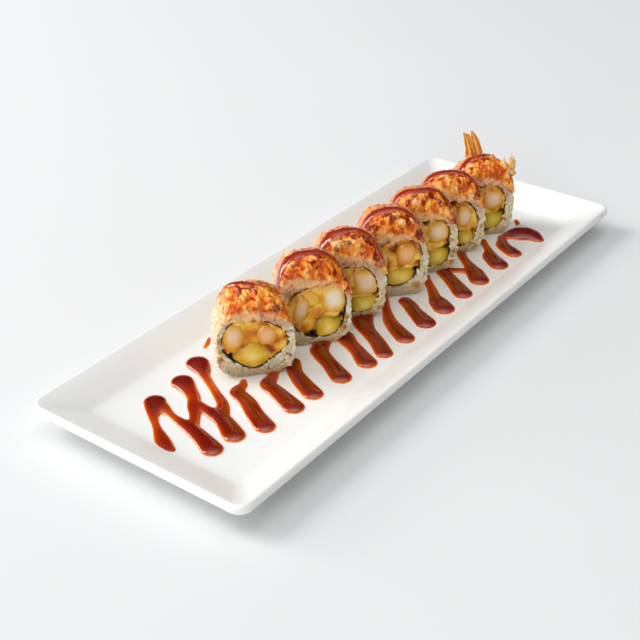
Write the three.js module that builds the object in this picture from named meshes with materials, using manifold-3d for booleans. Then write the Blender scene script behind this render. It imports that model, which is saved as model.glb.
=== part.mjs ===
// Seven slices of a cooked shrimp roll with a browned topping, set in an echelon on a long rimmed
// plate, with dark sauce drawn in strokes beside them. Millimetres, +Z up, origin on the table under
// the middle of the plate.
import * as THREE from "three";
import { mergeVertices } from "three/addons/utils/BufferGeometryUtils.js";
import Module from "manifold-3d";

const wasm = await Module();
wasm.setup();

// Plate sizes
const PLATE_LENGTH = 396;
const PLATE_WIDTH = 144.8;
const RIM_HEIGHT = 19;
const WELL_FLOOR = 8;
const RIM_RUN = 22.4;
const END_STRETCH = 1.14;
const RIM_EDGE = 3.4;
const RIM_BAND = 4.8;
const CORNER_RADIUS = 7.5;
const WELL_CORNER_RADIUS = 5;
const FOOT_INSET = 30;
const FOOT_WIDTH = 4;
const FOOT_RECESS = 1.6;
const WALL = 4.6;

// Row and slice sizes
const ROW_TURN = -42.24;
const ROW_X = -0.8;
const ROW_Y = -2.1;
const GAP = 0.3;
const NORI_THICKNESS = 0.9;
const RICE_BUMP = 0.75;
const TOPPING_CRAG = 1.1;
const TOPPING_OVERHANG = 1.6;
const LIP_THICKNESS = 1.3;
const SIDE_SQUARENESS = 2.7;
const BASE_SQUARENESS = 3.8;
const NORI_BEHIND_CUT = 0.25;
const SHRIMP_PROUD = 0.35;
const AVOCADO_PROUD = 0.1;
const BATTER_CRUMB = 0.35;
const TAIL_THICKNESS_SHARE = 0.26;
const FLAKE_THICKNESS = 1.6;

// Sauce sizes
const FOOT_CLEARANCE = 1.2;
const SAUCE_SINK = 0.5;
const SAUCE_RISE = 0.9;
const SAUCE_RISE_PER_WIDTH = 0.066;
const DRIZZLE_WIDTH = 3.4;
const DRIZZLE_RISE = 1.1;

// Mesh fineness
const RICE_AROUND = 32;
const RICE_ALONG = 4;
const NORI_AROUND = 18;
const SHRIMP_AROUND = 10;
const AVOCADO_AROUND = 12;
const POCKET_AROUND = 6;
const TOPPING_ALONG = 12;

const TURN = Math.PI * 2;
const radians = THREE.MathUtils.degToRad;
const lerp = THREE.MathUtils.lerp;

// Colours and finishes
const porcelain = new THREE.MeshStandardMaterial({ color: 0xf0f0ec, roughness: 0.18, metalness: 0 });
const rice = new THREE.MeshStandardMaterial({ color: 0xe6dccb, roughness: 0.5, metalness: 0 });
const seaweed = new THREE.MeshStandardMaterial({ color: 0x16160f, roughness: 0.45, metalness: 0 });
const shrimpFlesh = new THREE.MeshStandardMaterial({ color: 0xe6d4c0, roughness: 0.4, metalness: 0 });
const friedBatter = new THREE.MeshStandardMaterial({ color: 0xd99a1e, roughness: 0.55, metalness: 0 });
const avocadoFlesh = new THREE.MeshStandardMaterial({ color: 0xc6b83c, roughness: 0.45, metalness: 0 });
const brownedTopping = new THREE.MeshStandardMaterial({ color: 0xe2913c, roughness: 0.5, metalness: 0 });
const friedShell = new THREE.MeshStandardMaterial({ color: 0xd98423, roughness: 0.5, metalness: 0 });

// Slices in order from the front left. across and behind place the middle of the cut face in the
// row's own frame; left and right are the half widths, riceTop and top the heights. nori is the reach
// of the seaweed ring at each eighth of a turn, counted from the right. lips are the angles where the
// topping ends on each shoulder. drizzles are runs of sauce over the topping, each point an angle
// round the slice and a share of its depth, and flakes are fried batter standing on the shoulder.
// domes is how square the topping's left and right shoulders are.
const SLICES = [
  {
    across: -72.5, behind: -59.2, depth: 22.8, left: 21.5, right: 21.5, riceTop: 40.5, top: 49.2,
    nori: [18, 15.5, 14.5, 19.4, 19, 15.6, 15.5, 13.7], lips: [142, 30], domes: [3.1, 2.4],
    shrimps: [{ u: -12.5, z: 26, width: 9, height: 14 }, { u: 6, z: 25, width: 8.5, height: 10.5 }],
    avocado: { u: -2.2, z: 12.4, width: 21, height: 17, roundness: 1.35 },
    pockets: [[-13.3, 13.2, 2], [15.8, 13.5, 1.5]],
    drizzles: [[[106, 0.94], [98, 0.68], [88, 0.46]]],
    flakes: [],
  },
  {
    across: -35.8, behind: -34, depth: 20.2, left: 21, right: 22, riceTop: 42.5, top: 54.3,
    nori: [18.7, 22, 16.6, 16.5, 16.6, 14.2, 16.8, 19.6], lips: [146, 24], domes: [3.3, 2.4],
    shrimps: [{ u: -7, z: 23.5, width: 7, height: 14.5 }, { u: 11.8, z: 28.6, width: 11.5, height: 16.5 }],
    avocado: { u: 8.8, z: 10.2, width: 14.5, height: 14.5, roundness: 2.2 },
    pockets: [[0.8, 6.3, 2], [16.6, 16.6, 1.6]],
    drizzles: [[[140, 0.28], [126, 0.34], [110, 0.44], [88, 0.52], [66, 0.4], [44, 0.3]]],
    flakes: [],
  },
  {
    across: -9, behind: -11.4, depth: 18.8, left: 21, right: 21.5, riceTop: 42, top: 54.6,
    nori: [16.3, 15.5, 14, 16, 17, 16, 16, 19.6], lips: [146, 24], domes: [3.3, 2.4],
    shrimps: [{ u: -8, z: 24, width: 8, height: 12 }, { u: 8, z: 23.8, width: 11, height: 13 }],
    avocado: { u: 8, z: 9.2, width: 15, height: 12, roundness: 3 },
    pockets: [[0.4, 6, 1.9], [15.2, 15.6, 1.3]],
    drizzles: [[[130, 0.3], [118, 0.36], [104, 0.4], [88, 0.5], [70, 0.42], [54, 0.3]]],
    flakes: [],
  },
  {
    across: 22.3, behind: 9.8, depth: 21.8, left: 21, right: 21.5, riceTop: 42.5, top: 54.5,
    nori: [17, 20.4, 17.2, 17, 17.5, 14.2, 14, 15.2], lips: [146, 34], domes: [3.3, 2.4],
    shrimps: [{ u: -8.5, z: 26, width: 8, height: 12 }, { u: 6.6, z: 29.4, width: 9, height: 12.5 }],
    avocado: { u: 4.8, z: 12.8, width: 17, height: 12.5, roundness: 3 },
    pockets: [[-3.6, 9.8, 1.9], [14, 17.2, 1.7]],
    drizzles: [[[130, 0.36], [118, 0.35], [102, 0.4], [82, 0.42], [64, 0.36], [52, 0.36]]],
    flakes: [],
  },
  {
    across: 48.4, behind: 34, depth: 20.2, left: 21.8, right: 21.5, riceTop: 42, top: 53.8,
    nori: [16.3, 19, 17.2, 17.5, 17.5, 16, 16, 20], lips: [146, 30], domes: [3.3, 2.4],
    shrimps: [{ u: -7.5, z: 25, width: 8, height: 12 }, { u: 8.4, z: 28, width: 11, height: 12.5 }],
    avocado: { u: 9.4, z: 10.2, width: 14, height: 12.5, roundness: 3 },
    pockets: [[0.8, 35.6, 1.9], [15.2, 17.2, 1.4]],
    drizzles: [[[122, 0.5], [112, 0.56], [102, 0.38], [86, 0.46], [64, 0.42], [46, 0.3]]],
    flakes: [],
  },
  {
    across: 73.6, behind: 56.6, depth: 18.2, left: 21.8, right: 21.5, riceTop: 42, top: 53.6,
    nori: [16.8, 17.6, 16.8, 17, 17.5, 16, 16.3, 18.8], lips: [146, 24], domes: [3.3, 2.4],
    shrimps: [{ u: -8, z: 25, width: 8, height: 12 }, { u: 7.4, z: 25.6, width: 8, height: 13 }],
    avocado: { u: 9.4, z: 9.8, width: 10.5, height: 11.5, roundness: 2.6 },
    pockets: [[0.2, 35.4, 1.7], [14, 14.6, 1.3]],
    drizzles: [[[124, 0.45], [108, 0.56], [92, 0.44], [78, 0.42], [64, 0.3]]],
    flakes: [],
  },
  {
    across: 99.1, behind: 77.2, depth: 21, left: 19.5, right: 22.6, riceTop: 41.5, top: 51.4,
    nori: [16.8, 18.2, 14.6, 16.5, 16.5, 16, 17.3, 19.2], lips: [138, 24], domes: [2.1, 3],
    shrimps: [{ u: -7.5, z: 24.5, width: 8, height: 12 }, { u: 8, z: 25.8, width: 11.5, height: 12.5 }],
    avocado: { u: 9, z: 10.2, width: 14.5, height: 13, roundness: 2.4 },
    pockets: [[14.6, 16.4, 1.5]],
    drizzles: [[[118, 0.4], [104, 0.52], [92, 0.82], [78, 0.86]], [[36, 0.12], [27, 0.14]]],
    flakes: [
      [[17.3, 4.5, 38, 5], [19.6, 4, 45.5, 7], [20.3, 3.4, 51, 5.4], [20, 3, 56, 1.4]],
      [[13.5, 5, 40, 5.6], [14.6, 4.8, 47, 5.6], [15.2, 4.6, 52.3, 1.8]],
    ],
  },
];

// Sauce strokes on the well floor: each point is x, y and the stroke's width there
const STROKES = [
  [[-173, -2.5, 8.5], [-164, 13, 4.6], [-157, 22, 6], [-148, 29.5, 12.5]],
  [[-149, 22, 7], [-152, 11, 5], [-154, -2, 9], [-161, -22, 11.5]],
  [[-124.5, 31, 13], [-129.5, 20, 8], [-136, 12, 7.5], [-148, 1, 6.5]],
  [[-135.5, 11, 7], [-136, 0, 9.5], [-139, -11, 10.5], [-145, -23, 12]],
  [[-105.5, 36.5, 13.5], [-112, 25.5, 5.5], [-121, 10, 5.2], [-133, -5, 7]],
  [[-103.5, 4.5, 4], [-113.5, 0, 9.5], [-120, -13, 9.5], [-129.5, -31, 11.5]],
  [[-86, -3, 6], [-97, -8, 9.5], [-101, -18, 10], [-107.5, -33, 12]],
  [[-74, -7, 9], [-83, -18, 10], [-91, -33.5, 11.5]],
  [[-47, -7, 10], [-56, -12, 11], [-61, -22, 10], [-69, -36.5, 12]],
  [[-35, -16, 10], [-39, -24, 9.5], [-48.5, -39.5, 12]],
  [[-11, -11, 13], [-19.5, -20, 10.5], [-27, -32, 10.5], [-34, -42, 10]],
  [[18, -8.5, 3.5], [6, -16, 6], [-5, -27, 9.5], [-14, -42.5, 12]],
  [[22, -20, 9.5], [16, -29, 9.5], [7.5, -43.5, 12.5]],
  [[57, -14, 3.5], [47.5, -20, 6], [36, -33, 9], [28, -44, 13.5]],
  [[67, -19, 9], [59, -30, 10], [50.5, -43.5, 12]],
  [[100, -13.5, 5.5], [90, -20.5, 6.5], [80, -33, 9.5], [71.5, -43, 13]],
  [[72, -21, 6], [77, -29, 7]],
  [[119, -18.5, 5], [111, -26, 5.5], [101, -34, 11], [96, -43.5, 12.5]],
  [[130, -26, 6], [121, -32.5, 10], [115.5, -43.5, 10.5]],
  [[133, -27, 8], [141, -31, 15], [145, -36, 18], [142, -47, 8]],
  [[148, -32, 12], [154, -26, 5], [158, -21.8, 3.5]],
  [[-91, 44, 2.2], [-86.5, 46, 3.4], [-81, 49, 2.2]],
];

// The forked shrimp tail behind the last slice, in that slice's own frame
const TAIL_LOBES = [
  [[-0.5, 23.8, 38, 8], [-1.7, 26, 50, 6.4], [-3.5, 27, 58, 5], [-6.3, 27.5, 64.4, 1.8]],
  [[4.5, 23.8, 38, 8.4], [3.8, 26, 50, 7.2], [1.6, 27, 58, 5.4], [-0.9, 27.5, 65.3, 1.6]],
];

// A repeatable run of draws from -1 to 1
function draws(seed) {
  let state = seed;
  return () => {
    state = (state * 1664525 + 1013904223) % 4294967296;
    return state / 2147483648 - 1;
  };
}

// Turns a closed mesh's faces outwards
function facedOut(geometry) {
  const p = geometry.getAttribute("position");
  const index = geometry.index.array;
  const [a, b, c] = [new THREE.Vector3(), new THREE.Vector3(), new THREE.Vector3()];
  let volume = 0;
  for (let i = 0; i < index.length; i += 3) {
    a.fromBufferAttribute(p, index[i]);
    b.fromBufferAttribute(p, index[i + 1]);
    c.fromBufferAttribute(p, index[i + 2]);
    volume += a.dot(b.cross(c));
  }
  if (volume < 0) index.reverse();
  return geometry;
}

// A closed body drawn as rings: ring(level) gives the points of each ring, and both ends are capped
function lofted(around, along, ring) {
  const unit = new THREE.CylinderGeometry(1, 1, 1, around, along);
  unit.deleteAttribute("normal");
  unit.deleteAttribute("uv");
  const geometry = mergeVertices(unit, 1e-4);
  const p = geometry.getAttribute("position");
  const rings = Array.from({ length: along + 1 }, (_, level) => ring(level));
  const middle = (points) =>
    [0, 1, 2].map((k) => points.reduce((sum, q) => sum + q[k], 0) / points.length);
  for (let i = 0; i < p.count; i += 1) {
    const level = Math.round((p.getY(i) + 0.5) * along);
    const onAxis = Math.hypot(p.getX(i), p.getZ(i)) < 0.5;
    const side = Math.round((Math.atan2(p.getX(i), p.getZ(i)) / TURN + 1) * around) % around;
    p.setXYZ(i, ...(onAxis ? middle(rings[level]) : rings[level][side]));
  }
  return facedOut(geometry);
}

function solid(geometry) {
  const vertProperties = new Float32Array(geometry.getAttribute("position").array);
  const triVerts = new Uint32Array(geometry.index.array);
  return new wasm.Manifold(new wasm.Mesh({ numProp: 3, vertProperties, triVerts }));
}

// The largest body of a cut solid, without loose scraps
function whole(cut) {
  return cut.decompose().reduce((best, body) => (body.volume() > best.volume() ? body : best));
}

function piece(name, cut, material) {
  const { numProp, vertProperties, triVerts } = whole(cut).getMesh();
  const count = vertProperties.length / numProp;
  const positions = new Float32Array(count * 3);
  for (let i = 0; i < count; i += 1) {
    positions.set(vertProperties.subarray(i * numProp, i * numProp + 3), i * 3);
  }
  const geometry = new THREE.BufferGeometry();
  geometry.setAttribute("position", new THREE.BufferAttribute(positions, 3));
  geometry.setIndex(new THREE.BufferAttribute(triVerts, 1));
  const mesh = new THREE.Mesh(geometry, material);
  mesh.name = name;
  return mesh;
}

// Reach of a rounded square at an angle
function reach(angle, halfWidth, halfHeight, squareness) {
  const across = Math.abs(Math.cos(angle)) / halfWidth;
  const up = Math.abs(Math.sin(angle)) / halfHeight;
  return (across ** squareness + up ** squareness) ** (-1 / squareness);
}

// A straight prism through a slice: section(angle) gives its reach from the middle u, z
function prismShape(u, z, section, around, front, back) {
  return lofted(around, 1, (level) =>
    Array.from({ length: around }, (_, side) => {
      const angle = (side / around) * TURN;
      const r = section(angle, side);
      return [u + r * Math.cos(angle), level ? back : front, Math.max(0, z + r * Math.sin(angle))];
    }),
  );
}

function prism(...sizes) {
  return solid(prismShape(...sizes));
}

// The plate: foot, flared underside, upright band, narrow crest, sloped rim and flat well, one rounded
// rectangle at each step
function plateSection() {
  return [
    { inset: FOOT_INSET + FOOT_WIDTH + 1, height: FOOT_RECESS },
    { inset: FOOT_INSET + FOOT_WIDTH, height: 0 },
    { inset: FOOT_INSET, height: 0 },
    { inset: FOOT_INSET - 2, height: WELL_FLOOR - WALL },
    { inset: RIM_RUN * 0.55, height: lerp(WELL_FLOOR, RIM_HEIGHT, 0.45) - WALL * 0.86 },
    { inset: RIM_EDGE * 0.6, height: RIM_HEIGHT - RIM_BAND * 1.12 },
    { inset: RIM_EDGE * 0.1, height: RIM_HEIGHT - RIM_BAND },
    { inset: 0, height: RIM_HEIGHT - RIM_BAND * 0.8 },
    { inset: RIM_EDGE * 0.06, height: RIM_HEIGHT - RIM_BAND * 0.2 },
    { inset: RIM_EDGE * 0.2, height: RIM_HEIGHT - RIM_BAND * 0.08 },
    { inset: RIM_EDGE * 0.47, height: RIM_HEIGHT },
    { inset: RIM_EDGE * 1.1, height: RIM_HEIGHT - RIM_EDGE * 0.2 },
    { inset: RIM_RUN * 0.86, height: WELL_FLOOR + 1.1 },
    { inset: RIM_RUN, height: WELL_FLOOR + 0.3 },
    { inset: RIM_RUN * 1.2, height: WELL_FLOOR },
  ];
}

function plateSolid() {
  const cornerSteps = 4;
  const section = plateSection();
  const around = 4 * (cornerSteps + 1);
  const signs = [[1, 1], [-1, 1], [-1, -1], [1, -1]];
  return solid(
    lofted(around, section.length - 1, (level) => {
      const { inset, height } = section[level];
      const radius = lerp(CORNER_RADIUS, WELL_CORNER_RADIUS, Math.min(1, inset / RIM_RUN));
      const halfLength = PLATE_LENGTH / 2 - inset * END_STRETCH - radius;
      const halfWidth = PLATE_WIDTH / 2 - inset - radius;
      return Array.from({ length: around }, (_, side) => {
        const corner = Math.floor(side / (cornerSteps + 1));
        const angle = (corner + (side % (cornerSteps + 1)) / cornerSteps) * (TURN / 4);
        const [sx, sy] = signs[corner];
        const x = sx * halfLength + radius * Math.cos(angle);
        const y = sy * halfWidth + radius * Math.sin(angle);
        return [x, y, height];
      });
    }),
  );
}

// A bead along a path, with round ends. frame(tangent, t) gives its sideways and upward directions,
// section its points across and up as shares of the half width and of rise(width).
function bead(path, rows, section, frame, rise) {
  const ends = [[-0.46, 0.3], [-0.28, 0.8]];
  const stations = Array.from({ length: rows + 1 }, (_, i) => ({ t: i / rows, push: 0, scale: 1 }));
  const first = ends.map(([push, scale]) => ({ t: 0, push, scale }));
  const last = ends.map(([push, scale]) => ({ t: 1, push: -push, scale })).reverse();
  const all = [...first, ...stations, ...last];
  return solid(
    lofted(section.length, all.length - 1, (level) => {
      const { t, push, scale } = all[level];
      const { centre, width, tangent } = path(t);
      const { side, up } = frame(tangent, t);
      const middle = centre.clone().addScaledVector(tangent, push * width);
      return section.map(([across, high]) => {
        const point = middle.clone().addScaledVector(side, (width / 2) * scale * across);
        return point.addScaledVector(up, rise(width) * scale * high).toArray();
      });
    }),
  );
}

// Sections of a bead: a dome on a shallow foot, and an oval
const DOME = [[1, -0.1], [0.76, 0.66], [0, 1], [-0.76, 0.66], [-1, -0.1], [0, -0.4]];
const OVAL = Array.from({ length: 6 }, (_, k) => [Math.cos((k / 6) * TURN), Math.sin((k / 6) * TURN)]);

// A smooth path through points of x, y, z and width
function pathOf(points) {
  const knots = points.map(([x, y, z]) => new THREE.Vector3(x, y, z));
  const centres = new THREE.CatmullRomCurve3(knots, false, "centripetal");
  const widths = points.map((point) => point[3]);
  return (t) => {
    const at = Math.min(t * (widths.length - 1), widths.length - 1.001);
    const i = Math.floor(at);
    const width = lerp(widths[i], widths[i + 1], THREE.MathUtils.smoothstep(at - i, 0, 1));
    return { centre: centres.getPoint(t), width, tangent: centres.getTangent(t) };
  };
}

// A stroke of sauce, a low dome sunk a little into the plate
function stroke(points) {
  const path = pathOf(points.map(([x, y, width]) => [x, y, WELL_FLOOR - SAUCE_SINK, width]));
  const up = new THREE.Vector3(0, 0, 1);
  const frame = (tangent) => ({ side: new THREE.Vector3().crossVectors(up, tangent).normalize(), up });
  const rise = (width) => SAUCE_SINK + SAUCE_RISE + SAUCE_RISE_PER_WIDTH * width;
  return bead(path, points.length - 1, DOME, frame, rise);
}

// Outer outline of a slice's rice
function riceReach(slice, angle, grow = 0) {
  const half = Math.cos(angle) > 0 ? slice.right : slice.left;
  const squareness = Math.sin(angle) < 0 ? BASE_SQUARENESS : SIDE_SQUARENESS;
  return reach(angle, half + grow, slice.riceTop / 2 + grow, squareness);
}

// Outer outline of a slice's topping, which thins to a lip on both shoulders
function toppingReach(slice, angle) {
  const [left, right] = slice.lips.map(radians);
  const half = Math.cos(angle) > 0 ? slice.right + 0.6 : slice.left + 0.6;
  const dome = slice.domes[Math.cos(angle) > 0 ? 1 : 0];
  const inner = riceReach(slice, angle) + GAP;
  const outer = Math.max(inner + LIP_THICKNESS, reach(angle, half, slice.top - slice.riceTop / 2, dome));
  const share = THREE.MathUtils.clamp((angle - right) / (left - right), 0, 1);
  const fullness = (4 * share * (1 - share)) ** 0.3;
  return { inner, outer: inner + Math.max(0.7, (outer - inner) * fullness) };
}

function underTopping(slice, angle) {
  const degrees = THREE.MathUtils.radToDeg(angle);
  return degrees > slice.lips[1] - 10 && degrees < slice.lips[0] + 10;
}

// The seaweed ring's reach, smooth through its eight named reaches
function noriReach(slice) {
  const points = slice.nori.map((r, i) => {
    const angle = (i / slice.nori.length) * TURN;
    return new THREE.Vector3(r, Math.cos(angle), Math.sin(angle));
  });
  const curve = new THREE.CatmullRomCurve3(points, true);
  return (side) => curve.getPoint(side / NORI_AROUND).x;
}

// Rice: a rounded block with grain-size bumps outside, flat underneath and at both cuts
function riceSolid(slice, random) {
  const middle = slice.riceTop / 2;
  const block = lofted(RICE_AROUND, RICE_ALONG, (level) =>
    Array.from({ length: RICE_AROUND }, (_, side) => {
      const angle = (side / RICE_AROUND) * TURN;
      const bump = underTopping(slice, angle) ? 0 : random() * RICE_BUMP;
      const r = riceReach(slice, angle) + bump;
      const z = Math.max(0, middle + r * Math.sin(angle));
      return [r * Math.cos(angle), (level / RICE_ALONG) * slice.depth, z];
    }),
  );
  return solid(block);
}

// Topping: a ragged sheet over the top, thick in the middle, drooping a little over the front cut
function toppingSolid(slice, random) {
  const middle = slice.riceTop / 2;
  const [left, right] = slice.lips.map(radians);
  const { depth } = slice;
  const profile = [
    { y: -GAP - 0.05, rise: -1.5, rough: 0 },
    { y: -TOPPING_OVERHANG, rise: -1.2, rough: 0.3 },
    { y: -TOPPING_OVERHANG, rise: 1.5, share: 0.2, rough: 0.3 },
    { y: -0.9, share: 0.62, rough: 0.7 },
    { y: 1.8, share: 0.9, rough: 0.9 },
    { y: depth * 0.34, share: 1, rough: 1 },
    { y: depth * 0.66, share: 1, rough: 1 },
    { y: depth - 0.9, share: 0.86, rough: 0.8 },
    { y: depth + 0.3, share: 0.4, rough: 0.2 },
    { y: depth + 0.2, rise: 0.05, rough: 0 },
    { y: depth * 0.5, rise: 0.05, rough: 0 },
    { y: -GAP - 0.05, rise: 0.05, rough: 0 },
  ];
  const block = lofted(profile.length, TOPPING_ALONG, (level) => {
    const share = level / TOPPING_ALONG;
    const angle = lerp(right, left, share);
    const { inner, outer } = toppingReach(slice, angle);
    const droop = Math.sin(Math.PI * share) ** 0.7;
    return profile.map((step) => {
      const rise = "rise" in step ? step.rise * (step.rise < 0 ? droop : 1) : 0;
      const height = rise + (step.share ?? 0) * (outer - inner);
      const shake = random() * step.rough * TOPPING_CRAG * (0.35 + 0.65 * droop);
      const r = inner + Math.min(height, Math.max(outer - inner, 0.1)) + shake;
      return [r * Math.cos(angle), step.y + shake * 0.4, middle + r * Math.sin(angle)];
    });
  });
  return solid(block);
}

// A run of sauce over the topping, given as angles round the slice and shares of its depth
function drizzleSolid(slice, route) {
  const middle = slice.riceTop / 2;
  const points = route.map(([degrees, share]) => {
    const angle = radians(degrees);
    const r = toppingReach(slice, angle).outer - 0.2;
    return [r * Math.cos(angle), share * slice.depth, middle + r * Math.sin(angle), DRIZZLE_WIDTH];
  });
  const path = pathOf(points);
  const frame = (tangent, t) => {
    const { centre } = path(t);
    const out = new THREE.Vector3(centre.x, 0, centre.z - middle).normalize();
    const side = new THREE.Vector3().crossVectors(out, tangent).normalize();
    return { side, up: out };
  };
  return bead(path, points.length - 1, OVAL, frame, () => DRIZZLE_RISE);
}

// A flat blade that faces the front and the back of the row, such as a flake or a tail's lobe
function blade(points, halfThickness) {
  const frame = (tangent) => {
    const up = new THREE.Vector3(0, 1, 0).addScaledVector(tangent, -tangent.y).normalize();
    return { side: new THREE.Vector3().crossVectors(up, tangent).normalize(), up };
  };
  return bead(pathOf(points), points.length - 1, OVAL, frame, halfThickness);
}

function flake(points) {
  return blade(points, () => FLAKE_THICKNESS / 2);
}

function tail() {
  const lobes = TAIL_LOBES.map((points) => blade(points, (width) => TAIL_THICKNESS_SHARE * width));
  return lobes.reduce((body, lobe) => body.add(lobe));
}

function makeSlice(slice, number) {
  const random = draws(number * 7919);
  const group = new THREE.Group();
  const name = (part) => `slice_${number}_${part}`;
  const { depth } = slice;
  const middle = slice.riceTop / 2;
  const ring = noriReach(slice);
  const ringPrism = (offset, front, back) =>
    prism(0, middle, (_, side) => ring(side) + offset, NORI_AROUND, front, back);
  const beyond = 3;

  const hole = ringPrism(GAP, -beyond, depth + beyond);
  const riceBlock = riceSolid(slice, random);
  group.add(piece(name("rice"), riceBlock.subtract(hole), rice));

  const bore = ringPrism(-NORI_THICKNESS, -beyond, depth + beyond);
  const band = ringPrism(0, NORI_BEHIND_CUT, depth - NORI_BEHIND_CUT);
  group.add(piece(name("nori"), band.subtract(bore), seaweed));

  const inside = ringPrism(-NORI_THICKNESS - GAP, -beyond, depth + beyond);
  const fillings = slice.shrimps.map(({ u, z, width, height }) => {
    const outline = (grow) => (angle) => reach(angle, width / 2 + grow, height / 2 + grow, 2.1);
    const core = prism(u, z, outline(0), SHRIMP_AROUND, -SHRIMP_PROUD, depth + SHRIMP_PROUD);
    const room = prism(u, z, outline(GAP), SHRIMP_AROUND, -beyond, depth + beyond);
    return { core: core.intersect(inside), room };
  });
  fillings.forEach(({ core }, i) => group.add(piece(name(`shrimp_${"ab"[i]}`), core, shrimpFlesh)));

  const { avocado } = slice;
  const avocadoOutline = (grow) => (angle) =>
    reach(angle, avocado.width / 2 + grow, avocado.height / 2 + grow, avocado.roundness);
  const avocadoPrism = (grow, proud) =>
    prism(avocado.u, avocado.z, avocadoOutline(grow), AVOCADO_AROUND, -proud, depth + proud);
  const avocadoBlock = avocadoPrism(0, AVOCADO_PROUD).intersect(inside);
  group.add(piece(name("avocado"), avocadoBlock, avocadoFlesh));

  const ends = (level) => (level ? depth : 0) + random() * BATTER_CRUMB;
  const batterBlock = lofted(NORI_AROUND, 1, (level) =>
    Array.from({ length: NORI_AROUND }, (_, side) => {
      const angle = (side / NORI_AROUND) * TURN;
      const r = ring(side) - NORI_THICKNESS - GAP - Math.abs(random()) * 0.5;
      return [r * Math.cos(angle), ends(level), middle + r * Math.sin(angle)];
    }),
  );
  const pocket = ([u, z, r]) => prism(u, z, () => r, POCKET_AROUND, -beyond, depth + beyond);
  const rooms = fillings.map(({ room }) => room);
  const holes = [...rooms, avocadoPrism(GAP, beyond), ...slice.pockets.map(pocket)];
  const batter = holes.reduce((body, hollow) => body.subtract(hollow), solid(batterBlock));
  group.add(piece(name("batter"), batter, friedBatter));

  const riceOutline = (angle) => riceReach(slice, angle, 1.4 * GAP);
  const riceRoom = prism(0, middle, riceOutline, RICE_AROUND, -GAP, depth + GAP);
  const onTop = [...slice.drizzles.map((route) => drizzleSolid(slice, route)), ...slice.flakes.map(flake)];
  const crust = toppingSolid(slice, random);
  const topping = onTop.reduce((body, lump) => body.add(lump.subtract(riceRoom)), crust);
  group.add(piece(name("topping"), topping, brownedTopping));

  group.position.set(slice.across, slice.behind, 0);
  return group;
}

// Room kept free of sauce round each slice's foot, in the plate's frame
function footRoom(slice) {
  const outline = (angle) => riceReach(slice, angle, FOOT_CLEARANCE);
  const front = slice.behind - FOOT_CLEARANCE;
  const back = slice.behind + slice.depth + FOOT_CLEARANCE;
  const room = prismShape(slice.across, slice.riceTop / 2, outline, 24, front, back);
  room.rotateZ(radians(ROW_TURN));
  room.translate(ROW_X, ROW_Y, WELL_FLOOR);
  return solid(room);
}

const row = new THREE.Group();
SLICES.forEach((slice, i) => row.add(makeSlice(slice, i + 1)));

const lastSlice = SLICES[SLICES.length - 1];
const tailPiece = piece("slice_7_tail", tail(), friedShell);
tailPiece.position.set(lastSlice.across, lastSlice.behind, 0);
row.add(tailPiece);

row.rotation.z = radians(ROW_TURN);
row.position.set(ROW_X, ROW_Y, WELL_FLOOR + GAP);

const sauce = STROKES.map(stroke).reduce((body, run) => body.add(run));
const clearSauce = SLICES.map(footRoom).reduce((body, room) => body.subtract(room), sauce);

const group = new THREE.Group();
group.add(piece("plate", plateSolid().add(clearSauce), porcelain));
group.add(row);
export default group;
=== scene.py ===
import collections
import math
import random

import bmesh
import bpy
import numpy as np
from mathutils import Matrix, Vector, noise


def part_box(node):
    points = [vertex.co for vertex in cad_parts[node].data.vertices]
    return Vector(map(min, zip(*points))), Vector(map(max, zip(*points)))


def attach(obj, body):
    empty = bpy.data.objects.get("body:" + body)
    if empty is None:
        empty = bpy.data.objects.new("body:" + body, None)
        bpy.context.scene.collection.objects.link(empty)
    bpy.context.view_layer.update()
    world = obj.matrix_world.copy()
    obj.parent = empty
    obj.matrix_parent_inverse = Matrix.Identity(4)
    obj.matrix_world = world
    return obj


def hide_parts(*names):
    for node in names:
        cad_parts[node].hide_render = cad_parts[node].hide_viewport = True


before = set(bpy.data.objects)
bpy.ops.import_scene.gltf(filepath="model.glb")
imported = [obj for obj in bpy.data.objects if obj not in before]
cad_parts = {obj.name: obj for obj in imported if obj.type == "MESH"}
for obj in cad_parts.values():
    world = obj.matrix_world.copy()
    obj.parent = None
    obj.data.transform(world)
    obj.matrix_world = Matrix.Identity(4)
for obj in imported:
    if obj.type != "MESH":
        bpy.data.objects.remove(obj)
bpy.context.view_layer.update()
MM = 0.001

# Camera. A long lens looks down on the plate from its front left corner, so that the row of slices
# runs from the lower left to the upper right and each cut face is seen nearly square on.
CAMERA_AZIMUTH = math.radians(-53.57)
CAMERA_ELEVATION = math.radians(31.441)
CAMERA_DISTANCE = 719.63 * MM
CAMERA_TARGET = Vector((-26.301, 9.693, 8)) * MM
CAMERA_LENS = 67.977

camera_right = Vector((math.cos(CAMERA_AZIMUTH), math.sin(CAMERA_AZIMUTH), 0))
camera_back = Vector((math.sin(CAMERA_AZIMUTH) * math.cos(CAMERA_ELEVATION),
                      -math.cos(CAMERA_AZIMUTH) * math.cos(CAMERA_ELEVATION),
                      math.sin(CAMERA_ELEVATION)))
camera_up = camera_back.cross(camera_right)
camera = bpy.data.objects.new("camera", bpy.data.cameras.new("camera"))
camera.data.lens = CAMERA_LENS
turned = Matrix((camera_right, camera_up, camera_back)).transposed().to_4x4()
camera.matrix_world = Matrix.Translation(CAMERA_TARGET + camera_back * CAMERA_DISTANCE) @ turned
bpy.context.scene.collection.objects.link(camera)
bpy.context.scene.camera = camera
bpy.context.scene.view_settings.view_transform = "Standard"


# Studio. The serving stands on a seamless white table. A large softbox above and behind it on the
# left throws the soft grey shadow along its front side, a low one beside the camera fills the cut
# faces, and a small window low behind it and the bright horizon glint in the sauce.
FLOOR_SIZE = 8.0
FLOOR_COLOURS = [(231, 232, 232), (234, 235, 235)]
ROOM_COLOUR = (250, 250, 252)
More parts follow.
